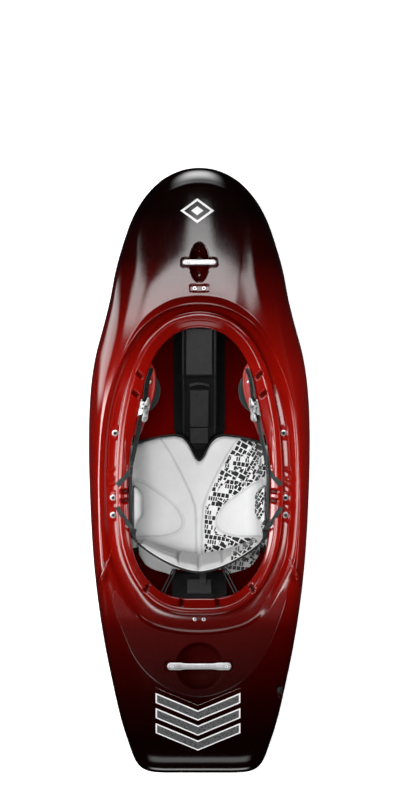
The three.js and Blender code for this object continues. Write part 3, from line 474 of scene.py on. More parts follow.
def build_hull():
    T = azimuths()
    n = len(T)
    rings, area = [], []

    g_list = [0.1, 0.22, 0.34, 0.45, 0.54, 0.62, 0.69, 0.75, 0.8, 0.84, 0.87, 0.895, 0.918, 0.938, 0.955, 0.969,
              0.98, 0.989, 0.996]
    for g in g_list:
        rings.append(bottom_ring(T, g))
    f_list = list(1 - np.linspace(0, 0.3, 9) ** 2 * 0.9) + list(np.linspace(0.909, 0.835, 10)) \
        + list(np.linspace(0.81, 0.5, 11)) + list(np.linspace(0.476, 0.046, 70)) + [0.036, 0.026, 0.017, 0.009, 0.004]
    deck_at = len(rings)
    for f in f_list:
        rings.append(deck_ring(T, f))
    deck_end = len(rings)

    ly = lerp(LIP(T)[:, 1], RIDGE(T)[:, 1], 0.3)
    crest_dz = -20 - 8 * smooth((-ly - 250) / 200)
    back = smooth((-ly - 360) / 70)
    front = smooth((ly - 380) / 60)
    wall_top, wall_low = 0.8 + 0.16 * back, 0.5 + 0.36 * back

    def between_var(share, dz):
        l, r = LIP(T), RIDGE(T)
        return np.column_stack([lerp(l, r, share[:, None]), rim_z(lerp(l[:, 1], r[:, 1], 0.3)) + dz])
    ctrl = [deck_ring(T, 0.035), deck_ring(T, 0), between_var(wall_top, crest_dz), between_var(wall_low, -33 + 3 * front),
            rim_ring(T, lambda w: w - 5, -35), rim_ring(T, lambda w: w - 11, -30), rim_ring(T, lambda w: w - 11, -12),
            rim_ring(T, lambda w: w - 1, -9), rim_ring(T, lambda w: w, -4), rim_ring(T, lambda w: w - 6, -0.5),
            rim_ring(T, lambda w: w - 15, 0), rim_ring(T, lambda w: w - 20, -0.7),
            rim_ring(T, lambda w: np.minimum(w - 25, 0.4 * w), -5.5),
            rim_ring(T, lambda w: 1.5 + 0 * w, -16), rim_ring(T, lambda w: 0.5 + 0 * w, -21),
            rim_ring(T, lambda w: 5 + 0 * w, -21), rim_ring(T, lambda w: w - 19, -11),
            rim_ring(T, lambda w: w - 17, -36), between_ring(T, 0.5, -40)]
    counts = [5, 5, 5, 4, 4, 5, 3, 3, 3, 3, 6, 7, 2, 2, 5, 4]
    rim_at = len(rings)
    for k, c in enumerate(counts):
        a, b, c2, d = ctrl[k], ctrl[k + 1], ctrl[k + 2], ctrl[k + 3]
        for s in range(c):
            rings.append(catmull(a, b, c2, d, s / c))
    rim_end = len(rings)
    rings.append(ctrl[-2])

    # Inner skin: the outer one moved inwards by the wall.
    def inner(fn, v, dv, sign):
        P = fn(T, v)
        along = np.roll(P, -1, 0) - np.roll(P, 1, 0)
        across = fn(T, min(1.0, v + dv)) - fn(T, max(0.0, v - dv))
        nrm = np.cross(along, across) * sign
        nrm /= np.maximum(np.linalg.norm(nrm, axis=1, keepdims=True), 1e-9)
        for _ in range(3):
            nrm = nrm + np.roll(nrm, 1, 0) + np.roll(nrm, -1, 0)
            nrm /= np.linalg.norm(nrm, axis=1, keepdims=True)
        return P, nrm

    first_inner = len(rings)
    rings.append(between_ring(T, 0.45, -40.5))
    rings.append(between_ring(T, 0.72, crest_dz - 9))
    P, nrm = inner(deck_ring, 0.5, 0.01, 1)
    centre = P.mean(0)
    way = -1 if ((P - centre) * nrm).sum() > 0 else 1
    for f in [0.1, 0.16, 0.22, 0.28, 0.34, 0.4, 0.47, 0.55, 0.64, 0.73, 0.8, 0.86, 0.91, 0.95, 0.98]:
        P, nrm = inner(deck_ring, f, 0.02, 1)
        rings.append(deck_features(P + nrm * way * WALL, WALL))
    P, nrm = inner(bottom_ring, 0.9, 0.01, 1)
    way = -1 if ((P - centre) * nrm).sum() > 0 else 1
    for g in [0.985, 0.96, 0.93, 0.89, 0.84, 0.78, 0.7, 0.6, 0.5, 0.38, 0.24, 0.1]:
        P, nrm = inner(bottom_ring, g, 0.012, 1)
        nrm = nrm * way
        low = g < 0.5
        rings.append(P + (np.array([0, 0, 1.0]) if low else nrm) * WALL)

    R = len(rings)
    V = np.concatenate(rings)
    lab = np.repeat(np.arange(R), n)

    # Features of the outer skin.
    skin = lab < rim_at
    V[skin] = outer_features(V[skin].copy())

    # Rim: screw seats, gutter bumps and flange slots.
    rim = (lab >= rim_at - 6) & (lab < rim_end)
    Q = V[rim].copy()
    labq = lab[rim]
    for x, y, lev, nn in screw_seats():
        d = np.hypot(Q[:, 0] - x, Q[:, 1] - y)
        up = (labq < rim_at + 20) & (d < 26)
        cur = Q[up] @ nn
        w = 1 - smooth((d[up] - 10.5) / 9.0)
        side_in = smooth((np.abs(Q[up][:, 0]) - (abs(x) - 12)) / 4)
        Q[up] += np.outer(w * (lev - 0.25 - cur) * side_in, nn)
    for x, y in GUTTER_BUMPS:
        qx, qy = np.abs(Q[:, 0]) - x, Q[:, 1] - y
        w = (1 - smooth((np.abs(qx) - 7) / 4)) * np.exp(-0.5 * (qy / 2.6) ** 2)
        Q[:, 2] += 2.4 * w * (labq < rim_at + 19)
    O, I = LIP(T), OPENING(T)
    # Each slot's weight also marks its floor for painted shade in the shell's colour.
    slot_shade = np.zeros(len(Q))
    for x, y in FLANGE_SLOTS:
        t0 = t_near(LIP, x, y)
        o, i = LIP(t0), OPENING(t0)
        rad = (o - i) / np.linalg.norm(o - i)
        tan = np.array([-rad[1], rad[0]])
        for s in (1, -1):
            px, py = Q[:, 0] * s - x, Q[:, 1] - y
            u, v = px * rad[0] + py * rad[1], px * tan[0] + py * tan[1]
            w = smooth((1.6 - box_sd(u + 2, v, 12, 6.6, 4)) / 3.2)
            top = labq >= rim_at + 34
            Q[:, 2] -= 5.0 * w * top
            slot_shade = np.maximum(slot_shade, w * top)
    V[rim] = Q
    # Painted shade per point, dark in the flange slots' floors.
    cavity_shade = np.zeros(len(V))
    cavity_shade[rim] = slot_shade
    # Painted shade in two lines beside each diagonal crease behind the cockpit.
    near = skin & (V[:, 1] < -200) & (V[:, 1] > -350)
    q = np.column_stack([np.abs(V[near, 0]), V[near, 1]])
    for A, B in (((277.5, -251.0), (309.0, -338.0)), ((260.0, -262.0), (287.0, -330.0))):
        d = seg_distance(q, np.array(A), np.array(B))
        cavity_shade[near] = np.maximum(cavity_shade[near], 0.55 * np.exp(-0.5 * (d / 4.5) ** 2))

    # Matte panel on the stern deck, let in by a millimetre.
    plan = V[:, :2]
    sd = np.full(len(V), 99.0)
    deck = (lab >= deck_at) & (lab < rim_at + 4) & (V[:, 1] < -300)
    sd[deck] = polygon_sd(plan[deck], PANEL)
    V[:, 2] -= 0.6 * smooth((-sd + 2.0) / 4.0) * deck

    # Parting line around the hull.
    seam_ring = deck_at
    for k in (seam_ring,):
        ring = V[k * n:(k + 1) * n]
        c = ring[:, :2] / np.linalg.norm(ring[:, :2], axis=1, keepdims=True)
        ring[:, :2] += c * 0.7
        V[k * n:(k + 1) * n] = ring

    quads = grid_quads(R, n)
    low, high = len(V), len(V) + 1
    V = np.concatenate([V, [[0, 0, 0.0]], [[0, 0, WALL]]])
    sd = np.concatenate([sd, [99, 99]])
    i = np.arange(n)
    j = (i + 1) % n
    cap0 = np.stack([np.full(n, low), j, i], -1)
    cap1 = np.stack([np.full(n, high), (R - 1) * n + i, (R - 1) * n + j], -1)
    if mesh_volume_quads(V, quads) < 0:
        quads, cap0, cap1 = quads[:, ::-1], cap0[:, ::-1], cap1[:, ::-1]
    faces = quads.tolist() + cap0.tolist() + cap1.tolist()
    ob = make_object("hull_shell_skin", V, faces)
    me = ob.data
    me.attributes.new("panel", "FLOAT", "POINT").data.foreach_set("value", sd.astype(np.float32))
    skin_in = np.concatenate([(lab >= rim_end).astype(np.float32), [0, 1]])
    me.attributes.new("inner", "FLOAT", "POINT").data.foreach_set("value", skin_in.astype(np.float32))
    cavity_shade = np.concatenate([cavity_shade, np.zeros(len(me.vertices) - len(cavity_shade))])
    me.attributes.new("cavity_shade", "FLOAT", "POINT").data.foreach_set("value", cavity_shade.astype(np.float32))
    print("hull", n, "azimuths", R, "rings", len(faces), "faces")
    return ob, V, lab, n


HULL, HULL_V, HULL_LAB, HULL_N = build_hull()


# ---------------------------------------------------------------- materials
class Mat:
    """A procedural material with a principled shader."""

    def __init__(self, name):
        self.m = bpy.data.materials.new(name)
        self.m.use_nodes = True
        self.t = self.m.node_tree
        self.t.nodes.clear()
        self.out = self.node("ShaderNodeOutputMaterial")
        self.s = self.node("ShaderNodeBsdfPrincipled")
        self.link(self.s.outputs[0], self.out.inputs["Surface"])
        tc = self.node("ShaderNodeTexCoord")
        self.obj = tc.outputs["Object"]
        self.uv = tc.outputs["UV"]
        self.bump_in = None

    def node(self, kind, **props):
        n = self.t.nodes.new(kind)
        for k, v in props.items():
            setattr(n, k, v)
        return n

    def link(self, a, b):
        self.t.links.new(a, b)

    def set(self, **values):
        names = {"rough": "Roughness", "metal": "Metallic", "spec": "Specular IOR Level", "coat": "Coat Weight",
                 "coat_rough": "Coat Roughness", "sheen": "Sheen Weight", "sheen_rough": "Sheen Roughness",
                 "ior": "IOR", "aniso": "Anisotropic"}
        for k, v in values.items():
            self.s.inputs[names[k]].default_value = v
        return self

    def math(self, op, a, b=None, clamp_it=False):
        n = self.node("ShaderNodeMath", operation=op, use_clamp=clamp_it)
        for k, v in enumerate((a, b)):
            if v is None:
                continue
            if isinstance(v, (int, float)):
                n.inputs[k].default_value = v
            else:
                self.link(v, n.inputs[k])
        return n.outputs[0]

    def scaled(self, vec, sx, sy, sz, rot=(0, 0, 0)):
        n = self.node("ShaderNodeMapping")
        n.inputs["Scale"].default_value = (sx, sy, sz)
        n.inputs["Rotation"].default_value = rot
        self.link(vec, n.inputs["Vector"])
        return n.outputs[0]

    def noise(self, vec, scale, detail=2.0, rough=0.5, dist=0.0):
        n = self.node("ShaderNodeTexNoise")
        n.inputs["Scale"].default_value = scale
        n.inputs["Detail"].default_value = detail
        n.inputs["Roughness"].default_value = rough
        n.inputs["Distortion"].default_value = dist
        self.link(vec, n.inputs["Vector"])
        return n.outputs["Fac"]

    def voronoi(self, vec, scale, feature="F1", rand=1.0):
        n = self.node("ShaderNodeTexVoronoi", feature=feature)
        n.inputs["Scale"].default_value = scale
        n.inputs["Randomness"].default_value = rand
        self.link(vec, n.inputs["Vector"])
        return n.outputs["Distance"]

    def wave(self, vec, scale, direction="X", kind="BANDS", profile="SIN", dist=0.0):
        n = self.node("ShaderNodeTexWave", wave_type=kind, bands_direction=direction, wave_profile=profile)
        n.inputs["Scale"].default_value = scale
        n.inputs["Distortion"].default_value = dist
        self.link(vec, n.inputs["Vector"])
        return n.outputs["Fac"]

    def remap(self, v, a, b, c, d, kind="LINEAR"):
        n = self.node("ShaderNodeMapRange", interpolation_type=kind)
        self.link(v, n.inputs["Value"])
        for k, x in zip(("From Min", "From Max", "To Min", "To Max"), (a, b, c, d)):
            n.inputs[k].default_value = x
        return n.outputs["Result"]

    def ramp(self, v, stops, mode="LINEAR"):
        n = self.node("ShaderNodeValToRGB")
        cr = n.color_ramp
        cr.interpolation = mode
        while len(cr.elements) < len(stops):
            cr.elements.new(0.5)
        for e, (p, c) in zip(cr.elements, stops):
            e.position = p
            e.color = (*c, 1)
        self.link(v, n.inputs["Fac"])
        return n.outputs["Color"]

    def mix(self, fac, a, b, kind="MIX"):
        n = self.node("ShaderNodeMix", data_type="RGBA", blend_type=kind)
        for sock, v in (("Factor", fac), ("A", a), ("B", b)):
            k = next(i for i in n.inputs if i.name == sock and (sock == "Factor") == (i.type == "VALUE") and i.enabled)
            if isinstance(v, (int, float)):
                k.default_value = v
            elif isinstance(v, tuple):
                k.default_value = (*v, 1)
            else:
                self.link(v, k)
        return next(o for o in n.outputs if o.type == "RGBA" and o.enabled)

    def xyz(self, vec):
        n = self.node("ShaderNodeSeparateXYZ")
        self.link(vec, n.inputs[0])
        return n.outputs

    def attr(self, name):
        n = self.node("ShaderNodeAttribute", attribute_name=name)
        return n.outputs["Fac"]

    def colour(self, c):
        self.link(c, self.s.inputs["Base Color"])
        return self

    def rough(self, v):
        self.link(v, self.s.inputs["Roughness"])
        return self

    def bump(self, h, distance, strength=1.0):
        n = self.node("ShaderNodeBump")
        n.inputs["Strength"].default_value = strength
        n.inputs["Distance"].default_value = distance
        self.link(h, n.inputs["Height"])
        if self.bump_in is not None:
            self.link(self.bump_in, n.inputs["Normal"])
        self.bump_in = n.outputs[0]
        self.link(self.bump_in, self.s.inputs["Normal"])
        return self


def red(v):
    return (v, v / 75, v / 190)


SHELL_RED = [(-904, .003), (-813, .003), (-692, .010), (-570, .030), (-473, .055), (-358, .19), (-207, .33), (5, .37),
             (278, .32), (430, .18), (520, .09), (641, .018), (778, .003)]


def shell_material():
    m = Mat("shell_red")
    y = m.remap(m.xyz(m.obj)[1], -0.92, 0.92, 0, 1)
    base = m.ramp(y, [((v + 920) / 1840, red(r * 0.84)) for v, r in SHELL_RED])
    cloud = m.noise(m.obj, 7, 3, 0.6)
    base = m.mix(1.0, base, m.ramp(cloud, [(0.3, (0.93, 0.93, 0.93)), (0.7, (1.06, 1.06, 1.06))]), "MULTIPLY")
    base = m.mix(m.attr("inner"), base, m.mix(1.0, base, m.ramp(cloud, [(0.3, (0.34, 0.17, 0.17)), (0.7, (0.44, 0.26, 0.26))]), "MULTIPLY"))
    # Painted shade: the flange slots' floors and the lines beside the creases are darkened here.
    shade = m.ramp(cloud, [(0.3, (0.2, 0.2, 0.2)), (0.7, (0.26, 0.26, 0.26))])
    base = m.mix(m.attr("cavity_shade"), base, m.mix(1.0, base, shade, "MULTIPLY"))
    # Plain motifs: a lozenge with a kernel on the bow, three chevrons on the stern.
    X, Y, Z = m.xyz(m.obj)
    grain = m.noise(m.obj, 220, 3, 0.6)
    white = m.ramp(grain, [(0.3, (0.7, 0.7, 0.7)), (0.7, (0.84, 0.84, 0.84))])
    grey = m.ramp(grain, [(0.35, (0.035, 0.035, 0.037)), (0.6, (0.11, 0.11, 0.112))])
    up = m.remap(Z, 0.2, 0.201, 0, 1)
    f = m.math("ADD", m.math("DIVIDE", m.math("ABSOLUTE", m.math("ADD", X, 0.006)), 0.05),
               m.math("DIVIDE", m.math("ABSOLUTE", m.math("SUBTRACT", Y, 0.783)), 0.037))
    mark = m.math("ADD", m.math("MULTIPLY", m.remap(f, 1.0, 1.02, 1, 0), m.remap(f, 0.78, 0.8, 0, 1)), m.remap(f, 0.36, 0.38, 1, 0))
    base = m.mix(m.math("MULTIPLY", mark, up), base, white)
    ax = m.math("ABSOLUTE", m.math("ADD", X, 0.004))
    v = m.math("DIVIDE", m.math("ADD", m.math("ADD", Y, 0.845), m.math("MULTIPLY", ax, -0.42)), 0.046)
    fr = m.math("FRACT", v)
    span = m.math("MULTIPLY", m.remap(ax, 0.128, 0.1285, 1, 0), m.math("MULTIPLY", m.remap(v, 0.0, 0.01, 0, 1), m.remap(v, 3.0, 3.01, 1, 0)))
    span = m.math("MULTIPLY", span, up)
    band = m.math("MULTIPLY", span, m.remap(fr, 0.66, 0.67, 1, 0))
    rim = m.math("MAXIMUM", m.math("MAXIMUM", m.remap(fr, 0.08, 0.09, 1, 0), m.remap(fr, 0.57, 0.58, 0, 1)), m.remap(ax, 0.1235, 0.124, 0, 1))
    base = m.mix(band, base, m.mix(rim, grey, white))
    m.colour(base)
    inside = m.remap(m.attr("panel"), -0.8, 0.8, 1, 0, "SMOOTHSTEP")
    peel = m.noise(m.obj, 160, 2, 0.5)
    scratch = m.noise(m.scaled(m.obj, 260, 9, 60), 1.0, 4, 0.7)
    gloss = m.math("ADD", m.remap(peel, 0.3, 0.7, 0.075, 0.11), m.remap(scratch, 0.55, 0.8, 0.0, 0.1))
    mat = m.remap(m.noise(m.obj, 420, 3, 0.6), 0.3, 0.7, 0.44, 0.6)
    n = m.node("ShaderNodeMix", data_type="FLOAT")
    m.link(inside, n.inputs[0])
    m.link(gloss, n.inputs[2])
    m.link(mat, n.inputs[3])
    n2 = m.node("ShaderNodeMix", data_type="FLOAT")
    m.link(m.attr("inner"), n2.inputs[0])
    m.link(n.outputs[0], n2.inputs[2])
    m.link(m.remap(peel, 0.3, 0.7, 0.7, 0.85), n2.inputs[3])
    m.rough(n2.outputs[0])
    spec = m.math("MULTIPLY", m.remap(m.attr("inner"), 0, 1, 0.5, 0.0), m.remap(inside, 0, 1, 1.0, 0.2))
    # Gloss is cut where the shade is painted.
    spec = m.math("MULTIPLY", spec, m.remap(m.attr("cavity_shade"), 0, 1, 1.0, 0.1))
    # The stern deck is worn duller than the rest, up to its edge.
    worn = m.ramp(y, [((v + 0.92) / 1.84, (s, s, s)) for v, s in ((-0.86, 1.0), (-0.82, 0.35), (-0.45, 0.3), (-0.425, 1.0))])
    spec = m.math("MULTIPLY", spec, worn)
    m.link(spec, m.s.inputs["Specular IOR Level"])
    m.bump(m.noise(m.obj, 24, 2, 0.5), 0.0005, 0.2)
    m.bump(peel, 0.00012, 0.25)
    grain = m.math("MULTIPLY", m.noise(m.obj, 330, 3, 0.65), inside)
    m.bump(grain, 0.0009, 0.9)
    return m.m


def metal_material(name, lo, hi, rough_lo, rough_hi, stretch=(40, 900, 40), dist=0.00006):
    m = Mat(name)
    v = m.noise(m.scaled(m.obj, *stretch), 1.0, 4, 0.6)
    m.colour(m.ramp(v, [(0.25, lo), (0.75, hi)]))
    m.rough(m.remap(v, 0.25, 0.75, rough_lo, rough_hi))
    m.set(metal=1.0)
    m.bump(v, dist, 0.6)
    return m.m


def foam_material(name, lo, hi, cell=420, rough_lo=0.8, rough_hi=0.95, depth=0.0006, sheen=0.15):
    m = Mat(name)
    cells = m.voronoi(m.obj, cell)
    cloud = m.noise(m.obj, 26, 4, 0.6)
    v = m.math("ADD", m.math("MULTIPLY", cells, 0.5), m.math("MULTIPLY", cloud, 0.7))
    m.colour(m.ramp(v, [(0.25, lo), (0.8, hi)]))
    m.rough(m.remap(cloud, 0.3, 0.7, rough_lo, rough_hi))
    m.set(spec=0.25, sheen=sheen)
    m.bump(cells, depth, 0.7)
    m.bump(m.noise(m.obj, 90, 3, 0.6), 0.0006, 0.5)
    return m.m


def plastic_material(name, lo, hi, rough_lo, rough_hi, grain=500, depth=0.00015, spec=0.5):
    m = Mat(name)
    v = m.noise(m.obj, 40, 4, 0.6)
    m.colour(m.ramp(v, [(0.3, lo), (0.7, hi)]))
    g = m.noise(m.obj, grain, 3, 0.6)
    m.rough(m.remap(m.noise(m.obj, 60, 3, 0.6), 0.3, 0.7, rough_lo, rough_hi))
    m.set(spec=spec)
    m.bump(g, depth, 0.7)
    return m.m


def web_material(name, lo, hi, across=230.0, along=400.0, rough=0.72, depth=0.0005, spec=0.3):
    """Woven webbing; UV is in metres, U across and V along."""
    m = Mat(name)
    u, v = m.xyz(m.uv)[0], m.xyz(m.uv)[1]
    a = m.math("SINE", m.math("MULTIPLY", u, across * 2 * math.pi))
    b = m.math("SINE", m.math("MULTIPLY", v, along * 2 * math.pi))
    knit = m.math("MULTIPLY", a, b)
    h = m.remap(knit, -1, 1, 0, 1)
    fuzz = m.noise(m.obj, 900, 2, 0.6)
    f = m.math("ADD", m.math("MULTIPLY", h, 0.7), m.math("MULTIPLY", fuzz, 0.3))
    m.colour(m.ramp(f, [(0.1, lo), (0.9, hi)]))
    m.rough(m.remap(fuzz, 0.3, 0.7, rough - 0.08, rough + 0.1))
    m.set(spec=spec, sheen=0.1)
    m.bump(h, depth, 0.8)
    m.bump(fuzz, 0.0002, 0.5)
    return m.m


SHELL = shell_material()
ALLOY = metal_material("handle_alloy", (0.42, 0.42, 0.43), (0.62, 0.62, 0.63), 0.28, 0.42, (900, 40, 40))
STEEL = metal_material("screw_steel", (0.8, 0.8, 0.8), (0.94, 0.94, 0.94), 0.36, 0.5, (300, 300, 300))
DARK_STEEL = metal_material("screw_dark", (0.05, 0.055, 0.058), (0.12, 0.125, 0.13), 0.28, 0.42, (300, 300, 300))
SOCKET_SHADOW = plastic_material("socket_shadow", (0.004, 0.004, 0.004), (0.012, 0.012, 0.012), 0.6, 0.8)
PILLAR = foam_material("pillar_foam", (0.0012, 0.0012, 0.0013), (0.0055, 0.0055, 0.0055), 380, sheen=0.0)
BEAD = foam_material("bead_foam", (0.006, 0.006, 0.006), (0.02, 0.02, 0.02), 400, sheen=0.0)
FOAM = foam_material("grey_foam", (0.013, 0.013, 0.0135), (0.032, 0.032, 0.033), 430, depth=0.0004, sheen=0.05)
BULK = foam_material("bulkhead_foam", (0.010, 0.010, 0.010), (0.03, 0.03, 0.03), 300)
BLACK = plastic_material("black_plastic", (0.006, 0.006, 0.006), (0.014, 0.014, 0.014), 0.35, 0.55)
PAN = plastic_material("seat_pan_plastic", (0.008, 0.008, 0.008), (0.018, 0.018, 0.018), 0.45, 0.65)
RUBBER = plastic_material("rubber", (0.006, 0.006, 0.006), (0.012, 0.012, 0.012), 0.6, 0.8, 700)
BRACE = plastic_material("brace_plastic", (0.26, 0.006, 0.003), (0.34, 0.008, 0.004), 0.3, 0.46, 380, 0.0002)
def mottled_material():
    m = Mat("ratchet_grey")
    a = m.noise(m.obj, 75, 5, 0.7, 1.2)
    b = m.voronoi(m.scaled(m.obj, 1.0, 0.6, 1.0), 120, "SMOOTH_F1")
    v = m.math("ADD", m.math("MULTIPLY", a, 0.8), m.math("MULTIPLY", b, 0.35))
    m.colour(m.ramp(v, [(0.38, (0.07, 0.07, 0.07)), (0.5, (0.3, 0.3, 0.3)), (0.62, (0.62, 0.62, 0.62)), (0.75, (0.8, 0.8, 0.8))]))
    m.rough(m.remap(a, 0.3, 0.7, 0.3, 0.48))
    m.set(spec=0.5, metal=0.15)
    m.bump(a, 0.0004, 0.5)
    return m.m


RATCHET = mottled_material()
STRAP = plastic_material("strap_plastic", (0.0025, 0.005, 0.005), (0.008, 0.014, 0.014), 0.34, 0.55)
GREY_WEB = web_material("webbing_grey", (0.01, 0.015, 0.015), (0.042, 0.054, 0.054))
WEBBING = web_material("webbing_black", (0.004, 0.004, 0.004), (0.028, 0.028, 0.029))
CORD = web_material("elastic_cord", (0.004, 0.005, 0.005), (0.024, 0.027, 0.027), 500, 300)


# ---------------------------------------------------------- lights and floor
def softbox(name, centre, aim, size, radiance, shows_in="both", colour=(1, 1, 1), soft=0.3):
    d = bpy.data.lights.new(name, "AREA")
    d.shape = "RECTANGLE"
    d.size, d.size_y = size
    d.energy = radiance * size[0] * size[1] * math.pi
    d.color = colour
    ob = bpy.data.objects.new(name, d)
    bpy.context.scene.collection.objects.link(ob)
    ob.location = centre
    ob.rotation_euler = (Vector(aim) - Vector(centre)).to_track_quat("-Z", "Y").to_euler()
    ob.visible_camera = False
    ob.visible_glossy = shows_in != "diffuse"
    ob.visible_diffuse = shows_in != "gloss"
    if shows_in == "gloss":
        # The diffuser fades towards its edges.
        d.use_nodes = True
        tree = d.node_tree
        em = next(n for n in tree.nodes if n.type == "EMISSION")
        geo = tree.nodes.new("ShaderNodeNewGeometry")
        sep = tree.nodes.new("ShaderNodeSeparateXYZ")
        tree.links.new(geo.outputs["Parametric"], sep.inputs[0])
        parts = []
        for k in (0, 1):
            for a, b in ((0.0, soft), (1.0, 1.0 - soft)):
                r = tree.nodes.new("ShaderNodeMapRange")
                r.interpolation_type = "SMOOTHSTEP"
                r.inputs["From Min"].default_value, r.inputs["From Max"].default_value = a, b
                tree.links.new(sep.outputs[k], r.inputs["Value"])
                parts.append(r.outputs["Result"])
        out = parts[0]
        for p in parts[1:]:
            x = tree.nodes.new("ShaderNodeMath")
            x.operation = "MULTIPLY"
            tree.links.new(out, x.inputs[0])
            tree.links.new(p, x.inputs[1])
            out = x.outputs[0]
        tree.links.new(out, em.inputs["Strength"])
    return ob


# Soft light that fills the shapes, and boxes that show in the gloss.
softbox("fill_left", (-2.7, 0.65, 3.0), (0, 0.0, 0.2), (1.8, 1.8), 6.0, "diffuse")
softbox("fill_top", (-0.36, -0.1, 4.35), (0, 0, 0), (2.0, 2.6), 10.0, "diffuse")
softbox("fill_right", (2.4, 0.0, 0.5), (0, 0.0, 0.25), (1.8, 0.8), 6.2, "diffuse")
softbox("fill_left_low", (-2.6, 0.0, 0.5), (0, 0.0, 0.25), (1.8, 0.8), 3.0, "diffuse")
softbox("box_front", (-0.75, 1.05, 4.1), (-0.7, 0.65, 0.35), (4.6, 0.95), 8.2, "gloss")
softbox("box_front_top", (0.0, 1.66, 3.95), (0.0, 0.9, 0.35), (0.9, 0.7), 6.5, "gloss")
softbox("box_front_right", (1.7, 1.2, 3.35), (0.15, 0.6, 0.35), (0.7, 1.7), 6.0, "gloss")
softbox("box_lip", (-0.6, -0.95, 3.72), (-0.6, 0.08, 0.33), (1.4, 0.5), 10.8, "gloss")
softbox("box_left_high", (-2.3, -0.6, 2.6), (-0.1, 0.0, 0.32), (1.3, 1.5), 8.0, "gloss")
softbox("box_left_edge", (-3.4, -0.32, 1.0), (-0.3, -0.27, 0.32), (2.3, 2.5), 15.5, "gloss")
softbox("box_left_front", (-2.5, 1.15, 2.5), (-0.2, 0.52, 0.37), (0.75, 2.4), 6.8, "gloss")
softbox("box_left_under", (-3.1, 0.8, -1.1), (-0.26, 0.4, 0.3), (1.0, 2.6), 3.6, "gloss")
softbox("box_right", (3.0, -0.5, 0.9), (0, -0.1, 0.25), (1.6, 0.6), 5.0, "gloss")
softbox("box_bow", (-0.1, 3.9, 0.95), (0, 0.9, 0.3), (3.6, 2.5), 13.0, "gloss", soft=0.45)
softbox("box_stern", (0.0, -3.5, 1.1), (0, -0.9, 0.2), (1.9, 0.9), 6.0, "gloss")
softbox("box_stern_high", (0.0, -2.95, 2.9), (0, -0.87, 0.25), (2.1, 0.8), 2.2, "gloss")

world = bpy.data.worlds.new("studio")
bpy.context.scene.world = world
world.use_nodes = True
world.node_tree.nodes["Background"].inputs["Color"].default_value = (0.9, 0.93, 1.0, 1)
world.node_tree.nodes["Background"].inputs["Strength"].default_value = 0.012

floor = make_object("floor", [[-9, -9, 0], [9, -9, 0], [9, 9, 0], [-9, 9, 0]], [[0, 1, 2, 3]], None, 1.0, False)
fm = Mat("floor_white")
fv = fm.noise(fm.obj, 3, 2, 0.5)
fm.colour(fm.ramp(fv, [(0.0, (0.9, 0.9, 0.9)), (1.0, (0.93, 0.93, 0.93))]))
fm.set(rough=0.85, spec=0.1)
fm.s.inputs["Emission Color"].default_value = (1, 1, 1, 1)
fm.s.inputs["Emission Strength"].default_value = 0.72
floor.data.materials.append(fm.m)
floor.location.z = -0.0005
floor.visible_glossy = False
floor.visible_diffuse = False

bpy.context.scene.view_settings.view_transform = "Standard"


def give(ob, material, body=None, nodes=()):
    if material is not None:
        ob.data.materials.clear()
        ob.data.materials.append(material)
    if body:
        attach(ob, body)
    if nodes:
        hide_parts(*nodes)
    return ob


give(HULL, SHELL, "hull", ["hull_shell"])
HULL_TREE = None


def hull_tree():
    global HULL_TREE
    if HULL_TREE is None:
        me = HULL.data
        HULL_TREE = BVHTree.FromPolygons([v.co.copy() for v in me.vertices], [tuple(p.vertices) for p in me.polygons])
    return HULL_TREE


def drop(x, y, z0=700.0):
    """Height of the hull's skin under a point, in millimetres."""
    hit = hull_tree().ray_cast(Vector((x, y, z0)) * MM, Vector((0, 0, -1)))
    return hit[0].z * 1000 if hit[0] is not None else None


# --------------------------------------------------------------- soft goods
def closed_sheet(name, top, bot, material=None, uv=None, attrs=None):
    """Closed skin between two grids of rows x cols points, in millimetres."""
    r, c = top.shape[:2]
    V = np.concatenate([top.reshape(-1, 3), bot.reshape(-1, 3)])
    idx = np.arange(r * c).reshape(r, c)
    q = np.stack([idx[:-1, :-1], idx[:-1, 1:], idx[1:, 1:], idx[1:, :-1]], -1).reshape(-1, 4)
    low = q[:, ::-1] + r * c
    edge = np.concatenate([idx[0, :], idx[1:, -1], idx[-1, -2::-1], idx[-2:0:-1, 0]])
    nxt = np.roll(edge, -1)
    side = np.stack([nxt, edge, edge + r * c, nxt + r * c], -1)
    F = np.concatenate([q, low, side])
    if mesh_volume_quads(V, F) < 0:
        F = F[:, ::-1]
    ob = make_object(name, V, F.tolist(), material)
    for k, (a, b) in (attrs or {}).items():
        ob.data.attributes.new(k, "FLOAT", "POINT").data.foreach_set(
            "value", np.concatenate([a.ravel(), b.ravel()]).astype(np.float32))
    return ob


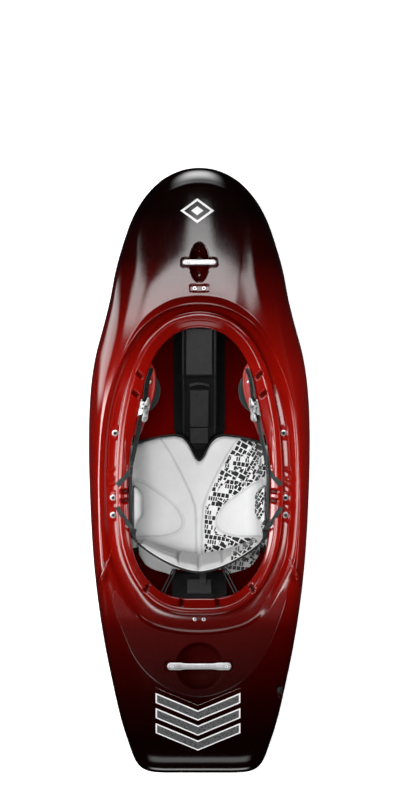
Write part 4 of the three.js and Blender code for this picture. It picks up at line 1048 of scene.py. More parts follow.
def tube(name, path, radius, seg=10, material=None, closed=False, flat=1.0, up=None):
    """Round or flattened tube with rounded ends; path in millimetres."""
    P = np.asarray(path, float)
    n = len(P)
    R = np.full(n, radius, float) if np.isscalar(radius) else np.asarray(radius, float)
    T = np.gradient(P, axis=0) if not closed else np.roll(P, -1, 0) - np.roll(P, 1, 0)
    T /= np.linalg.norm(T, axis=1, keepdims=True)
    a = np.cross(T[0], up if up is not None else (0.12, 0.1, 1.0))
    A = []
    for k in range(n):
        a = a - T[k] * (a @ T[k])
        a /= np.linalg.norm(a)
        A.append(a.copy())
    A = np.array(A)
    B = np.cross(T, A)
    th = np.linspace(0, 2 * math.pi, seg, endpoint=False)
    rings = P[:, None] + (A[:, None] * np.cos(th)[None, :, None] + B[:, None] * flat * np.sin(th)[None, :, None]) * R[:, None, None]
    if closed:
        V = rings.reshape(-1, 3)
        i, j = np.arange(n), (np.arange(n) + 1) % n
        k, m = np.arange(seg), (np.arange(seg) + 1) % seg
        F = np.stack([(i[:, None] * seg + k), (i[:, None] * seg + m), (j[:, None] * seg + m), (j[:, None] * seg + k)], -1).reshape(-1, 4)
        if mesh_volume_quads(V, F) < 0:
            F = F[:, ::-1]
        return make_object(name, V, F.tolist(), material)
    cap = []
    for f in (0.35, 0.75):
        cap.append((P[0] - T[0] * R[0] * f * 0.9) + (rings[0] - P[0]) * math.sqrt(1 - f * f))
    tail = []
    for f in (0.35, 0.75):
        tail.append((P[-1] + T[-1] * R[-1] * f * 0.9) + (rings[-1] - P[-1]) * math.sqrt(1 - f * f))
    rings = np.concatenate([np.array(cap[::-1]), rings, np.array(tail)])
    m = len(rings)
    V = np.concatenate([rings.reshape(-1, 3), [P[0] - T[0] * R[0] * 0.9], [P[-1] + T[-1] * R[-1] * 0.9]])
    q = grid_quads(m, seg)
    i = np.arange(seg)
    j = (i + 1) % seg
    F = q.tolist() + np.stack([np.full(seg, m * seg), j, i], -1).tolist() \
        + np.stack([np.full(seg, m * seg + 1), (m - 1) * seg + i, (m - 1) * seg + j], -1).tolist()
    F = outward(V, F)
    return make_object(name, V, F, material)


def spline(points, step=3.0):
    """Smooth path through the points, about step apart."""
    P = np.asarray(points, float)
    Q = np.concatenate([[2 * P[0] - P[1]], P, [2 * P[-1] - P[-2]]])
    out = []
    for k in range(1, len(Q) - 2):
        n = max(2, int(np.linalg.norm(Q[k + 1] - Q[k]) / step))
        t = np.linspace(0, 1, n, endpoint=False)[:, None]
        out.append(catmull(Q[k - 1][None], Q[k][None], Q[k + 1][None], Q[k + 2][None], t))
    out.append(P[-1][None])
    return np.concatenate(out)


def fabric_material(name, lo, hi, printed=False, edge=None, seams=False):
    m = Mat(name)
    cloud = m.noise(m.obj, 9, 4, 0.6)
    base = m.ramp(cloud, [(0.3, lo), (0.7, hi)])
    weave = m.math("MULTIPLY", m.wave(m.obj, 330, "X"), m.wave(m.obj, 330, "Y"))
    if seams:
        # The cover draws in along its seams, and painted shade greys it in the seam creases.
        seam_shade = m.mix(1.0, base, m.ramp(cloud, [(0.3, (0.68, 0.68, 0.685)), (0.7, (0.78, 0.78, 0.78))]), "MULTIPLY")
        base = m.mix(m.remap(m.attr("seam"), 0.6, 5.5, 0.85, 0.0, "SMOOTHSTEP"), base, seam_shade)
    if printed:
        # Broken bars in two directions, with small squares strewn among them.
        def bars(turn, scale, width, height, share):
            n = m.node("ShaderNodeTexBrick", offset=0.37, offset_frequency=2, squash=0.55, squash_frequency=3)
            m.link(m.scaled(m.obj, 1, 1, 1, (0, 0, turn)), n.inputs["Vector"])
            for k, x in (("Scale", scale), ("Mortar Size", 0.03), ("Mortar Smooth", 0.0), ("Bias", 0.0),
                         ("Brick Width", width), ("Row Height", height)):
                n.inputs[k].default_value = x
            n.inputs["Color1"].default_value = (0.0, 0.0, 0.0, 1)
            n.inputs["Color2"].default_value = (1.0, 1.0, 1.0, 1)
            n.inputs["Mortar"].default_value = (1, 1, 1, 1)
            return m.ramp(n.outputs["Color"], [(0.0, (0, 0, 0)), (share, (0, 0, 0)), (share + 0.02, (1, 1, 1)), (1.0, (1, 1, 1))])

        wide, fine = bars(0.5, 17, 0.42, 0.3, 0.8), bars(-1.05, 31, 0.6, 0.3, 0.78)
        small = bars(0.15, 27, 0.35, 0.4, 0.66)
        zone = m.noise(m.obj, 20, 1, 0.4)
        pattern = m.mix(m.remap(zone, 0.5, 0.505, 0, 1), wide, fine)
        pattern = m.mix(m.remap(m.noise(m.obj, 17, 1, 0.4, 0.3), 0.56, 0.565, 0, 1), pattern, small)
        ink = m.mix(1.0, base, m.ramp(pattern, [(0.0, (0.008, 0.008, 0.009)), (1.0, (1.12, 1.12, 1.12))]), "MULTIPLY")
        base = m.mix(m.remap(m.attr("print"), -1.2, 1.2, 1, 0), base, ink)
    if edge is not None:
        base = m.mix(m.remap(m.attr("trim"), -0.6, 0.6, 1, 0), base, m.ramp(cloud, [(0.3, edge[0]), (0.7, edge[1])]))
    m.colour(base)
    m.rough(m.remap(weave, 0, 1, 0.5, 0.68))
    m.set(spec=0.35, sheen=0.12)
    m.bump(weave, 0.00025, 0.6)
    m.bump(m.noise(m.obj, 34, 3, 0.55), 0.0018, 0.35)
    return m.m


SEAT_CLOTH = fabric_material("seat_cover", (0.7, 0.7, 0.705), (0.79, 0.79, 0.79), printed=True, seams=True)
HIP_CLOTH = fabric_material("hip_cover", (0.69, 0.69, 0.695), (0.77, 0.77, 0.77), printed=True)
# The back band's cover is the seat's cloth made darker: painted shade on the band.
SHADED_BAND_CLOTH = fabric_material("band_cover", (0.5, 0.5, 0.505), (0.58, 0.58, 0.58), printed=True)
PIPING = fabric_material("seat_piping", (0.7, 0.7, 0.7), (0.8, 0.8, 0.8))
BINDING = web_material("black_binding", (0.003, 0.003, 0.003), (0.022, 0.022, 0.022), 300, 300, 0.6)


def seat_front(x):
    return np.interp(np.abs(x), [0, 14, 34, 52, 76, 130, 190, 240], [26, 40, 84, 103, 108, 101, 86, 70])


# The seat's front edge as it is sewn: rounder than the table.
_sx = np.linspace(-250, 250, 1001)
_sf = gauss1d(seat_front(_sx), 9)


def seat_edge(x):
    return np.interp(x, _sx, _sf)


def seat_seam(y):
    """Half-distance between the two long seams at y."""
    return np.interp(y, [-260, -160, -112, -74, -10, 50, 96], [9, 9, 13, 26, 56, 88, 118])


DROP = [(-196, -30), (-164, -46), (-128, -72), (-98, -92), (-66, -124), (-51, -158), (-58, -184), (-88, -199),
        (-134, -206), (-205, -203)]
for _ in range(3):
    # A smooth seam, its two outer ends left where they are.
    _cut = [tuple(lerp(np.array(a, float), np.array(b, float), s)) for a, b in zip(DROP, DROP[1:]) for s in (0.25, 0.75)]
    DROP = [DROP[0]] + _cut[1:-1] + [DROP[-1]]


def build_seat_pad():
    PAN = np.array([(-240, 248), (-226, 180), (-210, 105), (-190, 48), (-160, 19), (-118, 13), (0, 13), (118, 13),
                    (160, 19), (190, 48), (210, 105), (226, 180), (240, 248)], float)
    line = spline(PAN, 2.0)
    s = np.concatenate([[0], np.cumsum(np.linalg.norm(np.diff(line, axis=0), axis=1))])
    keep = np.abs(line[:, 0]) < 214.5
    s0, s1 = s[keep][0], s[keep][-1]
    cols = np.linspace(s0, s1, 211)
    P = np.stack([np.interp(cols, s, line[:, 0]), np.interp(cols, s, line[:, 1])], 1)
    T = np.gradient(P, axis=0)
    T /= np.linalg.norm(T, axis=1, keepdims=True)
    N = np.stack([-T[:, 1], T[:, 0]], 1)
    N = np.stack([gauss1d(N[:, 0], 5), gauss1d(N[:, 1], 5)], 1)
    N /= np.linalg.norm(N, axis=1, keepdims=True)
    x0 = P[:, 0]
    thick = 32 - 14 * smooth((np.abs(x0) - 120) / 90)
    rows = 121
    k = np.linspace(0, 1, rows)
    k = k * 0.55 + 0.45 * (0.5 - 0.5 * np.cos(np.pi * k))
    yf = seat_edge(x0) - 2
    y_back = lerp(-268.0, -238.0, smooth((np.abs(x0) - 120) / 60))
    Y = lerp(y_back[None, :], yf[None, :], k[:, None])
    X0 = np.broadcast_to(x0, Y.shape)
    top_x = X0 + N[:, 0] * 0
    # Relief of the sewn cover.
    h = np.zeros_like(Y)
    ax = np.abs(X0 * (1 - 0.0))
    xt = X0 + N[:, 0] * thick
    d = np.abs(np.abs(xt) - seat_seam(Y))
    inside_lobes = (np.abs(xt) > seat_seam(Y))
    h -= 3.2 * np.exp(-(d / 2.8) ** 2)
    h += 3.2 * (1 - np.exp(-d / 22)) * inside_lobes
    h += 1.0 * (1 - np.exp(-d / 12)) * ~inside_lobes
    q = np.column_stack([-np.abs(xt).ravel(), Y.ravel()])
    sd = polygon_sd(q, DROP).reshape(Y.shape)
    h -= 3.0 * np.exp(-((sd - 0.5) / 2.6) ** 2) + 1.8 * np.exp(-((sd - 8) / 2.4) ** 2)
    h -= 3.0 * smooth(-sd / 18)
    # Thigh lobes swell towards the front, with a shallow well between them.
    h += 4.0 * np.exp(-((np.abs(xt) - 74) / 36) ** 2) * smooth((Y - 10) / 80)
    h -= 2.0 * np.exp(-((Y + 120) / 90) ** 2) * np.exp(-(xt / 120) ** 2)
    front = np.maximum(0, 1 - (yf[None, :] - Y) / 15)
    h -= 15 * (1 - np.sqrt(np.maximum(0, 1 - front ** 2)))
    back = np.maximum(0, 1 - (Y - y_back[None, :]) / 9)
    h -= 8 * (1 - np.sqrt(np.maximum(0, 1 - back ** 2)))
    end = np.minimum(cols - s0, s1 - cols)
    e = np.maximum(0, 1 - end / 7)[None, :]
    h -= 7 * (1 - np.sqrt(np.maximum(0, 1 - e ** 2)))
    # Slight puckers along the seams.
    h += 0.35 * np.sin(Y / 3.7) * np.exp(-(np.minimum(d, np.abs(sd)) / 7) ** 2)
    t = np.maximum(thick[None, :] + h, 5.6)
    top = np.stack([X0 + N[:, 0] * t, Y, P[:, 1] + N[:, 1] * t], -1)
    bot = np.stack([X0 + N[:, 0] * 4.7, Y, np.broadcast_to(P[:, 1] + N[:, 1] * 4.7, Y.shape)], -1)
    # Printed part: right of the right seam, outside the plain drop.
    pr = np.maximum(seat_seam(Y) + 7 - xt, np.where(xt > 0, 5 - sd, 50))
    ob = closed_sheet("seat_pad_cover", top, bot, SEAT_CLOTH,
                      attrs={"print": (pr, np.full_like(pr, 50.0)), "seam": (np.minimum(d, np.minimum(np.abs(sd - 0.5), np.abs(sd - 8) + 2.2)), np.full_like(pr, 50.0))})
    give(ob, None, "seat", ["seat_pad"])
    # Black bound edge round the notch and lobes, and a light piping inside it.
    j = [i for i in range(len(x0)) if abs(top[-1, i, 0]) < 118]
    path = np.array([top[-1, i] + [0, 0.0, 1.6] for i in j])
    w = 1 - smooth((np.abs(path[:, 0]) - 62) / 40)
    bind = tube("seat_notch_binding", path, 0.9 + 3.6 * w, 12, BINDING)
    give(bind, None, "seat")
    row = -9
    j2 = [i for i in range(len(x0)) if abs(top[row, i, 0]) < 60]
    path = np.array([top[row, i] + [0, 0.0, -0.3] for i in j2])
    pipe = tube("seat_notch_piping", path, 1.9, 10, PIPING)
    give(pipe, None, "seat")
    return ob


build_seat_pad()


def band_shape(x):
    c = 1 - 0.8 * (np.abs(x) / 187) ** 2
    top = -305 + 87 * (np.abs(x) / 187) ** 1.7
    return c, top


def build_back_band():
    rows, cols = 61, 181
    x = np.linspace(-178, 178, cols)
    z = np.linspace(118, 258, rows)
    X, Z = np.meshgrid(x, z)
    c, top_y = band_shape(X)
    rear = top_y + 25 * c * (258 - Z) / 140
    crown = np.maximum(0, 1 - ((Z - 188) / 90) ** 4)
    t = 8 + 24 * c * crown
    # Four quilted cells; the outer two lap over the middle ones.
    for at, depth, sig in ((-62, 9.5, 6.0), (-1, 7.5, 5.0), (70, 9.5, 6.0)):
        t -= depth * np.exp(-((X - at) / sig) ** 2) * smooth((Z - 124) / 18)
    mid = smooth((62 - np.abs(X - 4)) / 7)
    t -= 5.5 * mid * smooth((Z - 170) / 60)
    t += 2.4 * np.cos((X + 31) / 31 * np.pi) * 0.5 * mid
    t -= 2.5 * np.exp(-(((Z - 236) - 4 * np.cos(X / 30)) / 3.2) ** 2) * (1 - mid)
    t += 0.5 * np.sin(Z / 4.1) * np.exp(-(np.minimum(np.abs(X + 62), np.abs(X - 70)) / 10) ** 2)
    edge = np.minimum(np.minimum(X + 178, 178 - X), np.minimum(Z - 118, 258 - Z))
    e = np.maximum(0, 1 - edge / 9)
    t = np.maximum(1.2, t - (t - 2.5) * (1 - np.sqrt(np.maximum(0, 1 - e ** 2))))
    front = np.stack([X, rear + t, Z], -1)
    back = np.stack([X, rear, Z], -1)
    pr = np.maximum(96 - X, -1 * (Z - 120))
    ob = closed_sheet("back_band_cover", back, front, SHADED_BAND_CLOTH, attrs={"print": (pr, pr)})
    give(ob, None, "backband", ["backband_cover"])
    xs = np.linspace(-186, 186, 150)
    cc, yy = band_shape(xs)
    path = np.column_stack([xs, yy + 1.0, np.full(len(xs), 257.5)])
    give(tube("back_band_binding", path, 3.7, 12, BINDING, flat=1.15), None, "backband")
    path = np.column_stack([xs, yy + 5.2, np.full(len(xs), 258.3)])
    give(tube("back_band_piping", path[10:-10], 1.5, 10, PIPING), None, "backband")
    # Side wings of the cover that hang behind the bound edge.
    for side in (-1, 1):
        xs = side * np.linspace(60, 184, 56)
        v = np.linspace(0, 1, 22)
        XX, VV = np.meshgrid(xs, v)
        _, ty = band_shape(XX)
        reach = (4 + 27 * smooth((np.abs(XX) - 70) / 18) + 14 * smooth((np.abs(XX) - 92) / 58)) * (1 - 0.35 * smooth((np.abs(XX) - 162) / 24))
        y = ty - 2.5 - reach * VV ** 1.15 - 2.0
        zz = 254 - 62 * VV ** 0.8 - 6 * VV * np.sin(np.abs(XX) / 17)
        sheet_top = np.stack([XX, y, zz], -1)
        sheet_bot = sheet_top + np.array([0, 2.6, -3.0])
        pr = np.full_like(XX, -9.0 if side > 0 else 50.0)
        wing = closed_sheet("back_band_wing_" + ("left" if side < 0 else "right"), sheet_top, sheet_bot, SHADED_BAND_CLOTH,
                            attrs={"print": (pr, pr)})
        give(wing, None, "backband")


build_back_band()


def build_hip_pads():
    for side, name in ((-1, "left"), (1, "right")):
        y = np.linspace(-194, -46, 75)
        z = np.linspace(122, 258, 45)
        Y, Z = np.meshgrid(y, z)
        cy = pchip([-194, -160, -128, -80, -46], [0.3, 0.42, 0.95, 0.95, 0.45], Y.ravel()).reshape(Y.shape)
        cz = pchip([122, 150, 200, 240, 258], [0.5, 0.9, 1, 0.8, 0.45], Z.ravel()).reshape(Z.shape)
        edge = np.minimum(np.minimum(Y + 194, -46 - Y), np.minimum(Z - 122, 258 - Z))
        e = np.maximum(0, 1 - edge / 10)
        w = 33.5 * cy * cz
        w = np.maximum(2.0, w - (w - 3) * (1 - np.sqrt(np.maximum(0, 1 - e ** 2))))
        w -= 1.6 * np.exp(-((Z - 214 - 6 * np.sin(Y / 30)) / 3) ** 2)
        inner = np.stack([side * (201 - w), Y, Z], -1)
        outer = np.stack([np.full_like(Y, side * 201.0), Y, Z], -1)
        pr = np.full_like(Y, 50.0 if side < 0 else -9.0)
        ob = closed_sheet(f"hip_pad_cover_{name}", inner, outer, HIP_CLOTH, attrs={"print": (pr, pr)})
        give(ob, None, "seat", [f"hip_pad_{name}"])
        ring = np.concatenate([inner[0, :], inner[1:, -1], inner[-1, -2::-1], inner[-2:0:-1, 0]])
        ring = ring[::2] + [side * 0.6, 0, 0]
        give(tube(f"hip_pad_binding_{name}", ring, 1.7, 8, BINDING, closed=True), None, "seat")


build_hip_pads()


# -------------------------------------------------------------- hard pieces

def finish_edges(ob, weighted=True):
    if weighted:
        mod = ob.modifiers.new("weighted", "WEIGHTED_NORMAL")
        mod.keep_sharp = True
        mod.weight = 80
    return ob


def refine(node, material, body, width=1.0, seg=3, angle=22.0, dissolve=1.5, name=None, edit=None):
    """The CAD piece with its edges rounded, in place of the plain one."""
    me = NODES[node].data.copy()
    me.name = (name or node) + "_fine"
    ob = bpy.data.objects.new((name or node) + "_fine", me)
    bpy.context.scene.collection.objects.link(ob)
    bm = bmesh.new()
    bm.from_mesh(me)
    bmesh.ops.remove_doubles(bm, verts=bm.verts, dist=2e-6)
    if edit:
        edit(bm)
    bmesh.ops.dissolve_limit(bm, angle_limit=math.radians(dissolve), verts=bm.verts, edges=bm.edges)
    edges = [e for e in bm.edges if len(e.link_faces) == 2 and e.calc_face_angle(0) > math.radians(angle)]
    if width > 0:
        bmesh.ops.bevel(bm, geom=edges, offset=width * MM, offset_type="OFFSET", segments=seg, profile=0.5,
                        affect="EDGES", clamp_overlap=True)
    bmesh.ops.triangulate(bm, faces=[f for f in bm.faces if len(f.verts) > 4])
    bmesh.ops.recalc_face_normals(bm, faces=bm.faces)
    bm.to_mesh(me)
    bm.free()
    for key in list(me.attributes.keys()):
        if key.startswith("custom") or key == "sharp_edge":
            me.attributes.remove(me.attributes[key])
    me.polygons.foreach_set("use_smooth", [True] * len(me.polygons))
    me.materials.clear()
    me.materials.append(material)
    finish_edges(ob)
    give(ob, None, body, [node])
    return ob


def lathe(name, profile, frame_m, material, seg=32, wobble=None):
    """Closed turned piece round the frame's Z; profile from bottom to top, first and last on the axis."""
    pts = list(profile)
    if pts[0][0] > 1e-6:
        pts = [(0, pts[0][1])] + pts
    if pts[-1][0] > 1e-6:
        pts = pts + [(0, pts[-1][1])]
    inner = pts[1:-1]
    th = np.linspace(0, 2 * math.pi, seg, endpoint=False)
    V = np.concatenate([np.column_stack([r * np.cos(th), r * np.sin(th), np.full(seg, z)]) for r, z in inner])
    V = np.concatenate([V, [[0, 0, pts[0][1]]], [[0, 0, pts[-1][1]]]])
    m = len(inner)
    i = np.arange(seg)
    j = (i + 1) % seg
    F = grid_quads(m, seg).tolist() + np.stack([np.full(seg, m * seg), j, i], -1).tolist() \
        + np.stack([np.full(seg, m * seg + 1), (m - 1) * seg + i, (m - 1) * seg + j], -1).tolist()
    V = apply(frame_m, V)
    ob = make_object(name, V, outward(V, F), material)
    ob.data.set_sharp_from_angle(angle=math.radians(38))
    return ob


def frame_from(origin, z_dir, x_hint=(1, 0, 0)):
    z = Vector(z_dir).normalized()
    x = Vector(x_hint)
    x = (x - z * x.dot(z)).normalized()
    y = z.cross(x)
    m = Matrix((x, y, z)).transposed().to_4x4()
    m.translation = Vector(origin)
    return m


def arc(cx, cz, r, a0, a1, n=5):
    return [(cx + r * math.cos(math.radians(a)), cz + r * math.sin(math.radians(a))) for a in np.linspace(a0, a1, n)]


def socket_screw(name, m, r, h, washer, body, node, shank=16, dome=0.0, socket=True, metal=None):
    """Round head with a hex socket, over its washer when it has one; the frame's origin is the seat."""
    base = washer[1] if washer else 0.0
    head = [(2.9, -shank), (2.9, base - 0.01), (r - 0.4, base)] + arc(r - 0.8, base + h - 0.8, 0.8, 0, 80)
    if dome:
        head = [(2.9, -shank), (2.9, base - 0.01), (r - 0.3, base), (r, base + 0.5), (r * 0.86, base + h * 0.6),
                (r * 0.62, base + h * 0.9)]
    hx = r * 0.5
    head += [(hx + 0.25, base + h), (hx, base + h - 0.25)] if socket else [(0.8, base + h + 0.05)]
    if socket:
        head += [(hx * 0.98, base + h * 0.42), (hx * 0.9, base + h * 0.36)]
    ob = lathe(name, head, m, metal or STEEL)
    give(ob, None, body, [node] if node else [])
    if socket:
        # A dark disc of painted shadow lies on the socket's floor.
        floor_m = m @ Matrix.Translation((0, 0, base + h * 0.36 + 0.05))
        pit = lathe(name + "_socket", [(hx * 0.86, -0.05), (hx * 0.86, 0.1)], floor_m, SOCKET_SHADOW, 6)
        give(pit, None, body)
    if washer:
        wr, wt = washer
        w = lathe(name + "_washer", [(wr - 0.2, 0.0), (wr, 0.25), (wr - 0.05, wt - 0.35), (wr - 0.5, wt - 0.02),
                                     (r * 0.8, wt + 0.02)], m, STEEL, 40)
        give(w, None, body)
    return ob


# Screws beside the rim.
for (x, y, lev, nn), tag in zip(screw_seats(), [f"{b}_{s}" for b in SIDE_SCREWS for s in ("left", "right")]):
    n = Vector(nn)
    origin = Vector((x, y, (lev - y * n.y) / n.z))
    socket_screw("fine_" + tag, frame_from(origin, n), 4.9, 3.2, (9.4, 1.6), "hull", tag, metal=DARK_STEEL)

# Grab handles and their screws.
def build_handle(name, y, half, end_w, mid_w, screw_x, material, centre_rib):
    m = deck_frame(y)
    z0, th = -7 + 0.35, 9.0
    n, rr = 121, 20
    xs = np.linspace(-half, half, n)
    wid = lerp(mid_w, end_w, smooth((np.abs(xs) - half * 0.4) / (half * 0.22))) / 2
    end = np.maximum(0, (np.abs(xs) - (half - end_w * 0.42)) / (end_w * 0.42))
    wid = wid * np.sqrt(np.maximum(0.02, 1 - np.minimum(end, 1) ** 2.4))
    sect = []
    a = np.linspace(0, 2 * math.pi, rr * 4, endpoint=False)
    ex = 3.2
    cu = np.sign(np.cos(a)) * np.abs(np.cos(a)) ** (2 / ex)
    cv = np.sign(np.sin(a)) * np.abs(np.sin(a)) ** (2 / ex)
    rings = []
    for x, w in zip(xs, wid):
        hh = th / 2
        zc = z0 + hh
        lift = -0.9 * (1 - smooth((abs(x) - half * 0.5) / (half * 0.25))) if centre_rib else 0
        rings.append(np.column_stack([np.full(len(a), x), w * cu, zc + (hh - 0.02) * cv + np.where(cv > 0.2, lift, 0)]))
    V = np.concatenate(rings + [[[-half - 0.3, 0, z0 + th / 2]], [[half + 0.3, 0, z0 + th / 2]]])
    s = len(a)
    i = np.arange(s)
    j = (i + 1) % s
    F = grid_quads(n, s).tolist() + np.stack([np.full(s, n * s), j, i], -1).tolist() \
        + np.stack([np.full(s, n * s + 1), (n - 1) * s + i, (n - 1) * s + j], -1).tolist()
    # Dished seats for the screw heads.
    top = V[:, 2] > z0 + th * 0.5
    for k in (-1, 1):
        r = np.hypot(V[:, 0] - k * screw_x, V[:, 1])
        V[:, 2] -= np.where(top, 0.5 * (1 - smooth((r - 5.0) / 1.6)), 0)
    V = apply(m, V)
    ob = make_object(f"{name}_handle_bar", V, outward(V, F), material)
    give(ob, None, "hull", [f"{name}_grab_handle"])
    for side, k in (("left", -1), ("right", 1)):
        sm = m @ Matrix.Translation((k * screw_x, 0, z0 + th + 0.05))
        socket_screw(f"{name}_handle_screw_{side}", sm, 4.5, 2.6, None, "hull", f"{name}_screw_{side}")


build_handle("bow", BOW_HANDLE_Y, 48.5, 16, 16, 35, ALLOY, False)
build_handle("stern", STERN_HANDLE_Y, 96.5, 23, 18, 82.6, ALLOY, True)

# Deck screws ahead of and behind the cockpit.
for tag, y in (("front_pillar", 551.0), ("rear_pillar", -446.0)):
    for side, k in (("left", -1), ("right", 1)):
        node = f"{tag}_screw_{side}"
        P = node_corners(node)
        c = (P.max(0) + P.min(0)) / 2
        hits = [drop(k * 13.5 + dx, c[1] + dy) for dx, dy in ((0, 0), (5, 0), (-5, 0), (0, 5), (0, -5))]
        z = float(np.mean(hits))
        tilt = Vector((0, -(hits[3] - hits[4]) / 10, 1))
        socket_screw(f"fine_{node}", frame_from((k * 13.5, c[1], z + 0.1), tilt), 6, 3.0, None, "hull", node)

# Central walls of foam and their pads.
def clear_notch(bm):
    """The wall's aft tip stands back from the bound edge of the seat's notch."""
    for v in bm.verts:
        if v.co.y < 0.1 and abs(v.co.x) < 0.04:
            v.co.y += 0.0075


refine("front_pillar", PILLAR, "hull", 3.2, 4, 25, edit=clear_notch)
# Its foot runs on under the seat's notch.
_y, _u = np.meshgrid(np.linspace(8, 120.5, 46), np.linspace(-1, 1, 44), indexing="ij")
_w = 38 + 37 * np.clip((_y - 82) / 12, 0, 1)
_x = _u * _w
_e = np.minimum(np.minimum(_y - 8, 120.5 - _y), _w - np.abs(_x))
_r = 2.0 * (1 - np.sqrt(np.maximum(0, 1 - np.maximum(0, 1 - _e / 2.0) ** 2)))
# It dips under the wall's own slanted foot.
_r = np.maximum(_r, 3.9 * smooth((_y - 100 - np.clip(np.abs(_x) - 40, 0, 20)) / 3))
give(closed_sheet("front_pillar_foot", np.stack([_x, _y, 11.2 - _r], -1), np.stack([_x, _y, 6.5 + 0 * _x], -1), PILLAR),
     None, "hull")
refine("rear_pillar", PILLAR, "hull", 3.2, 4, 25)
refine("foot_bulkhead", BULK, "hull", 5.0, 3, 25)
for node, w in (("front_pillar_pad_upper", 3.0), ("front_pillar_pad_lower", 2.6), ("rear_pillar_pad", 2.4)):
    refine(node, FOAM, "hull", w, 4, 25)

# Rails, pan and brackets.
for s in ("left", "right"):
    refine(f"side_rail_{s}", BLACK, "hull", 1.2, 2)
    refine(f"rear_buckle_{s}", BLACK, "hull", 0.9, 3)
refine("seat_pan", PAN, "seat", 1.0, 2, 30)
refine("backband_core", BLACK, "backband", 0.8, 2)

# Drain plug in its recess.
dm = frame_from(DRAIN_AT, DRAIN_DIR, (0, 1, 0))
ob = lathe("drain_seat_ring", [(6.5, -9), (8.4, -9), (8.4, 0.3), (13.6, 0.3), (13.9, 0.8), (13.6, 1.7), (12.8, 2.2), (6.5, 2.2)],
           dm, RUBBER, 40)
give(ob, None, "hull", ["drain_bushing"])
cap = [(5.8, -8), (5.8, 2.5)]
cap += [(10.3, 2.5), (10.6, 3.0), (10.6, 6.0), (9.8, 7.2), (8.6, 7.5), (2.2, 7.5)]
ob = lathe("drain_plug_cap", cap, dm, BLACK, 36)
give(ob, None, "drain", ["drain_plug"])
bar = lathe("drain_plug_grip", [(2.4, -6.6), (2.6, -6.2), (2.6, 6.2), (2.4, 6.6)],
            frame_from(DRAIN_AT + DRAIN_DIR * 7.2, (0, 1, 0.02), tuple(DRAIN_DIR)), BLACK, 16)
give(bar, None, "drain")


# ----------------------------------------------------- braces and strap work
def mirror(P, side):
    P = np.array(P, float)
    if side > 0:
        P = P.copy()
        P[..., 0] *= -1
    return P


SIDES = ((-1, "left"), (1, "right"))
_half = OPENING.q[: OPENING.n // 2 + 1]


def open_x(y):
    return np.interp(y, _half[::-1, 1], _half[::-1, 0])


def ribbon(name, path, across, width, thick, material, side=-1, step=3.0, smooth_path=True):
    """Flat strap with rounded edges; left side's points, mirrored for the right. UV in metres."""
    P = spline(path, step) if smooth_path else np.asarray(path, float)
    n = len(P)
    A = np.asarray(across, float)
    if A.ndim == 1:
        A = np.tile(A, (len(path), 1))
    src = np.linspace(0, 1, len(A))
    W = np.column_stack([np.interp(np.linspace(0, 1, n), src, A[:, k]) for k in range(3)])
    T = np.gradient(P, axis=0)
    T /= np.linalg.norm(T, axis=1, keepdims=True)
    W = W - T * (W * T).sum(1, keepdims=True)
    W /= np.linalg.norm(W, axis=1, keepdims=True)
    N = np.cross(T, W)
    hw, ht = width / 2, thick / 2
    sect = [(-hw, 0.0), (-hw + 0.25 * ht, 0.75 * ht), (-hw + ht, ht)]
    sect += [(u * (hw - ht), ht) for u in (-0.5, 0.0, 0.5)]
    sect += [(hw - ht, ht), (hw - 0.25 * ht, 0.75 * ht), (hw, 0.0), (hw - 0.25 * ht, -0.75 * ht), (hw - ht, -ht)]
    sect += [(u * (hw - ht), -ht) for u in (0.5, 0.0, -0.5)]
    sect += [(-hw + ht, -ht), (-hw + 0.25 * ht, -0.75 * ht)]
    sect = np.array(sect)
    s = len(sect)
    rings = P[:, None] + W[:, None] * sect[None, :, :1] + N[:, None] * sect[None, :, 1:]
    V = np.concatenate([rings.reshape(-1, 3), [P[0]], [P[-1]]])
    along = np.concatenate([[0], np.cumsum(np.linalg.norm(np.diff(P, axis=0), axis=1))]) * MM
    uv = np.column_stack([np.tile(sect[:, 0] * MM, n), np.repeat(along, s)])
    uv = np.concatenate([uv, [[0, 0]], [[0, along[-1]]]])
    V = mirror(V, side)
    i = np.arange(s)
    j = (i + 1) % s
    F = grid_quads(n, s).tolist() + np.stack([np.full(s, n * s), j, i], -1).tolist() \
        + np.stack([np.full(s, n * s + 1), (n - 1) * s + i, (n - 1) * s + j], -1).tolist()
    ob = make_object(name, V, outward(V, F), material)
    me = ob.data
    layer = me.uv_layers.new(name="UVMap")
    idx = np.empty(len(me.loops), int)
    me.loops.foreach_get("vertex_index", idx)
    layer.data.foreach_set("uv", uv[idx].ravel())
    return ob


def loft(name, stations, frame_m, material, side=-1, power=3.6, n=44, seg=32, lump=0.0):
    """Body of superellipse sections along local x: (x, half width, low, high)."""
    S = np.array(stations, float)
    order = np.argsort(S[:, 0])
    S = S[order]
    xs = np.linspace(S[0, 0], S[-1, 0], n)
    hw, lo, hi = (pchip(S[:, 0], S[:, k], xs) for k in (1, 2, 3))
    a = np.linspace(0, 2 * math.pi, seg, endpoint=False)
    cu = np.sign(np.cos(a)) * np.abs(np.cos(a)) ** (2 / power)
    cv = np.sign(np.sin(a)) * np.abs(np.sin(a)) ** (2 / power)
    rings = []
    for k in range(n):
        mid, h = (lo[k] + hi[k]) / 2, (hi[k] - lo[k]) / 2
        v = mid + h * cv
        if lump:
            v = v + lump * np.maximum(cv, 0) * np.cos(xs[k] / 3.4) * np.cos(cu * 2.2)
        rings.append(np.column_stack([np.full(seg, xs[k]), hw[k] * cu, v]))
    V = np.concatenate(rings + [[[xs[0], 0, (lo[0] + hi[0]) / 2]], [[xs[-1], 0, (lo[-1] + hi[-1]) / 2]]])
    i = np.arange(seg)
    j = (i + 1) % seg
    F = grid_quads(n, seg).tolist() + np.stack([np.full(seg, n * seg), j, i], -1).tolist() \
        + np.stack([np.full(seg, n * seg + 1), (n - 1) * seg + i, (n - 1) * seg + j], -1).tolist()
    V = mirror(apply(frame_m, V), side)
    return make_object(name, V, outward(V, F), material)


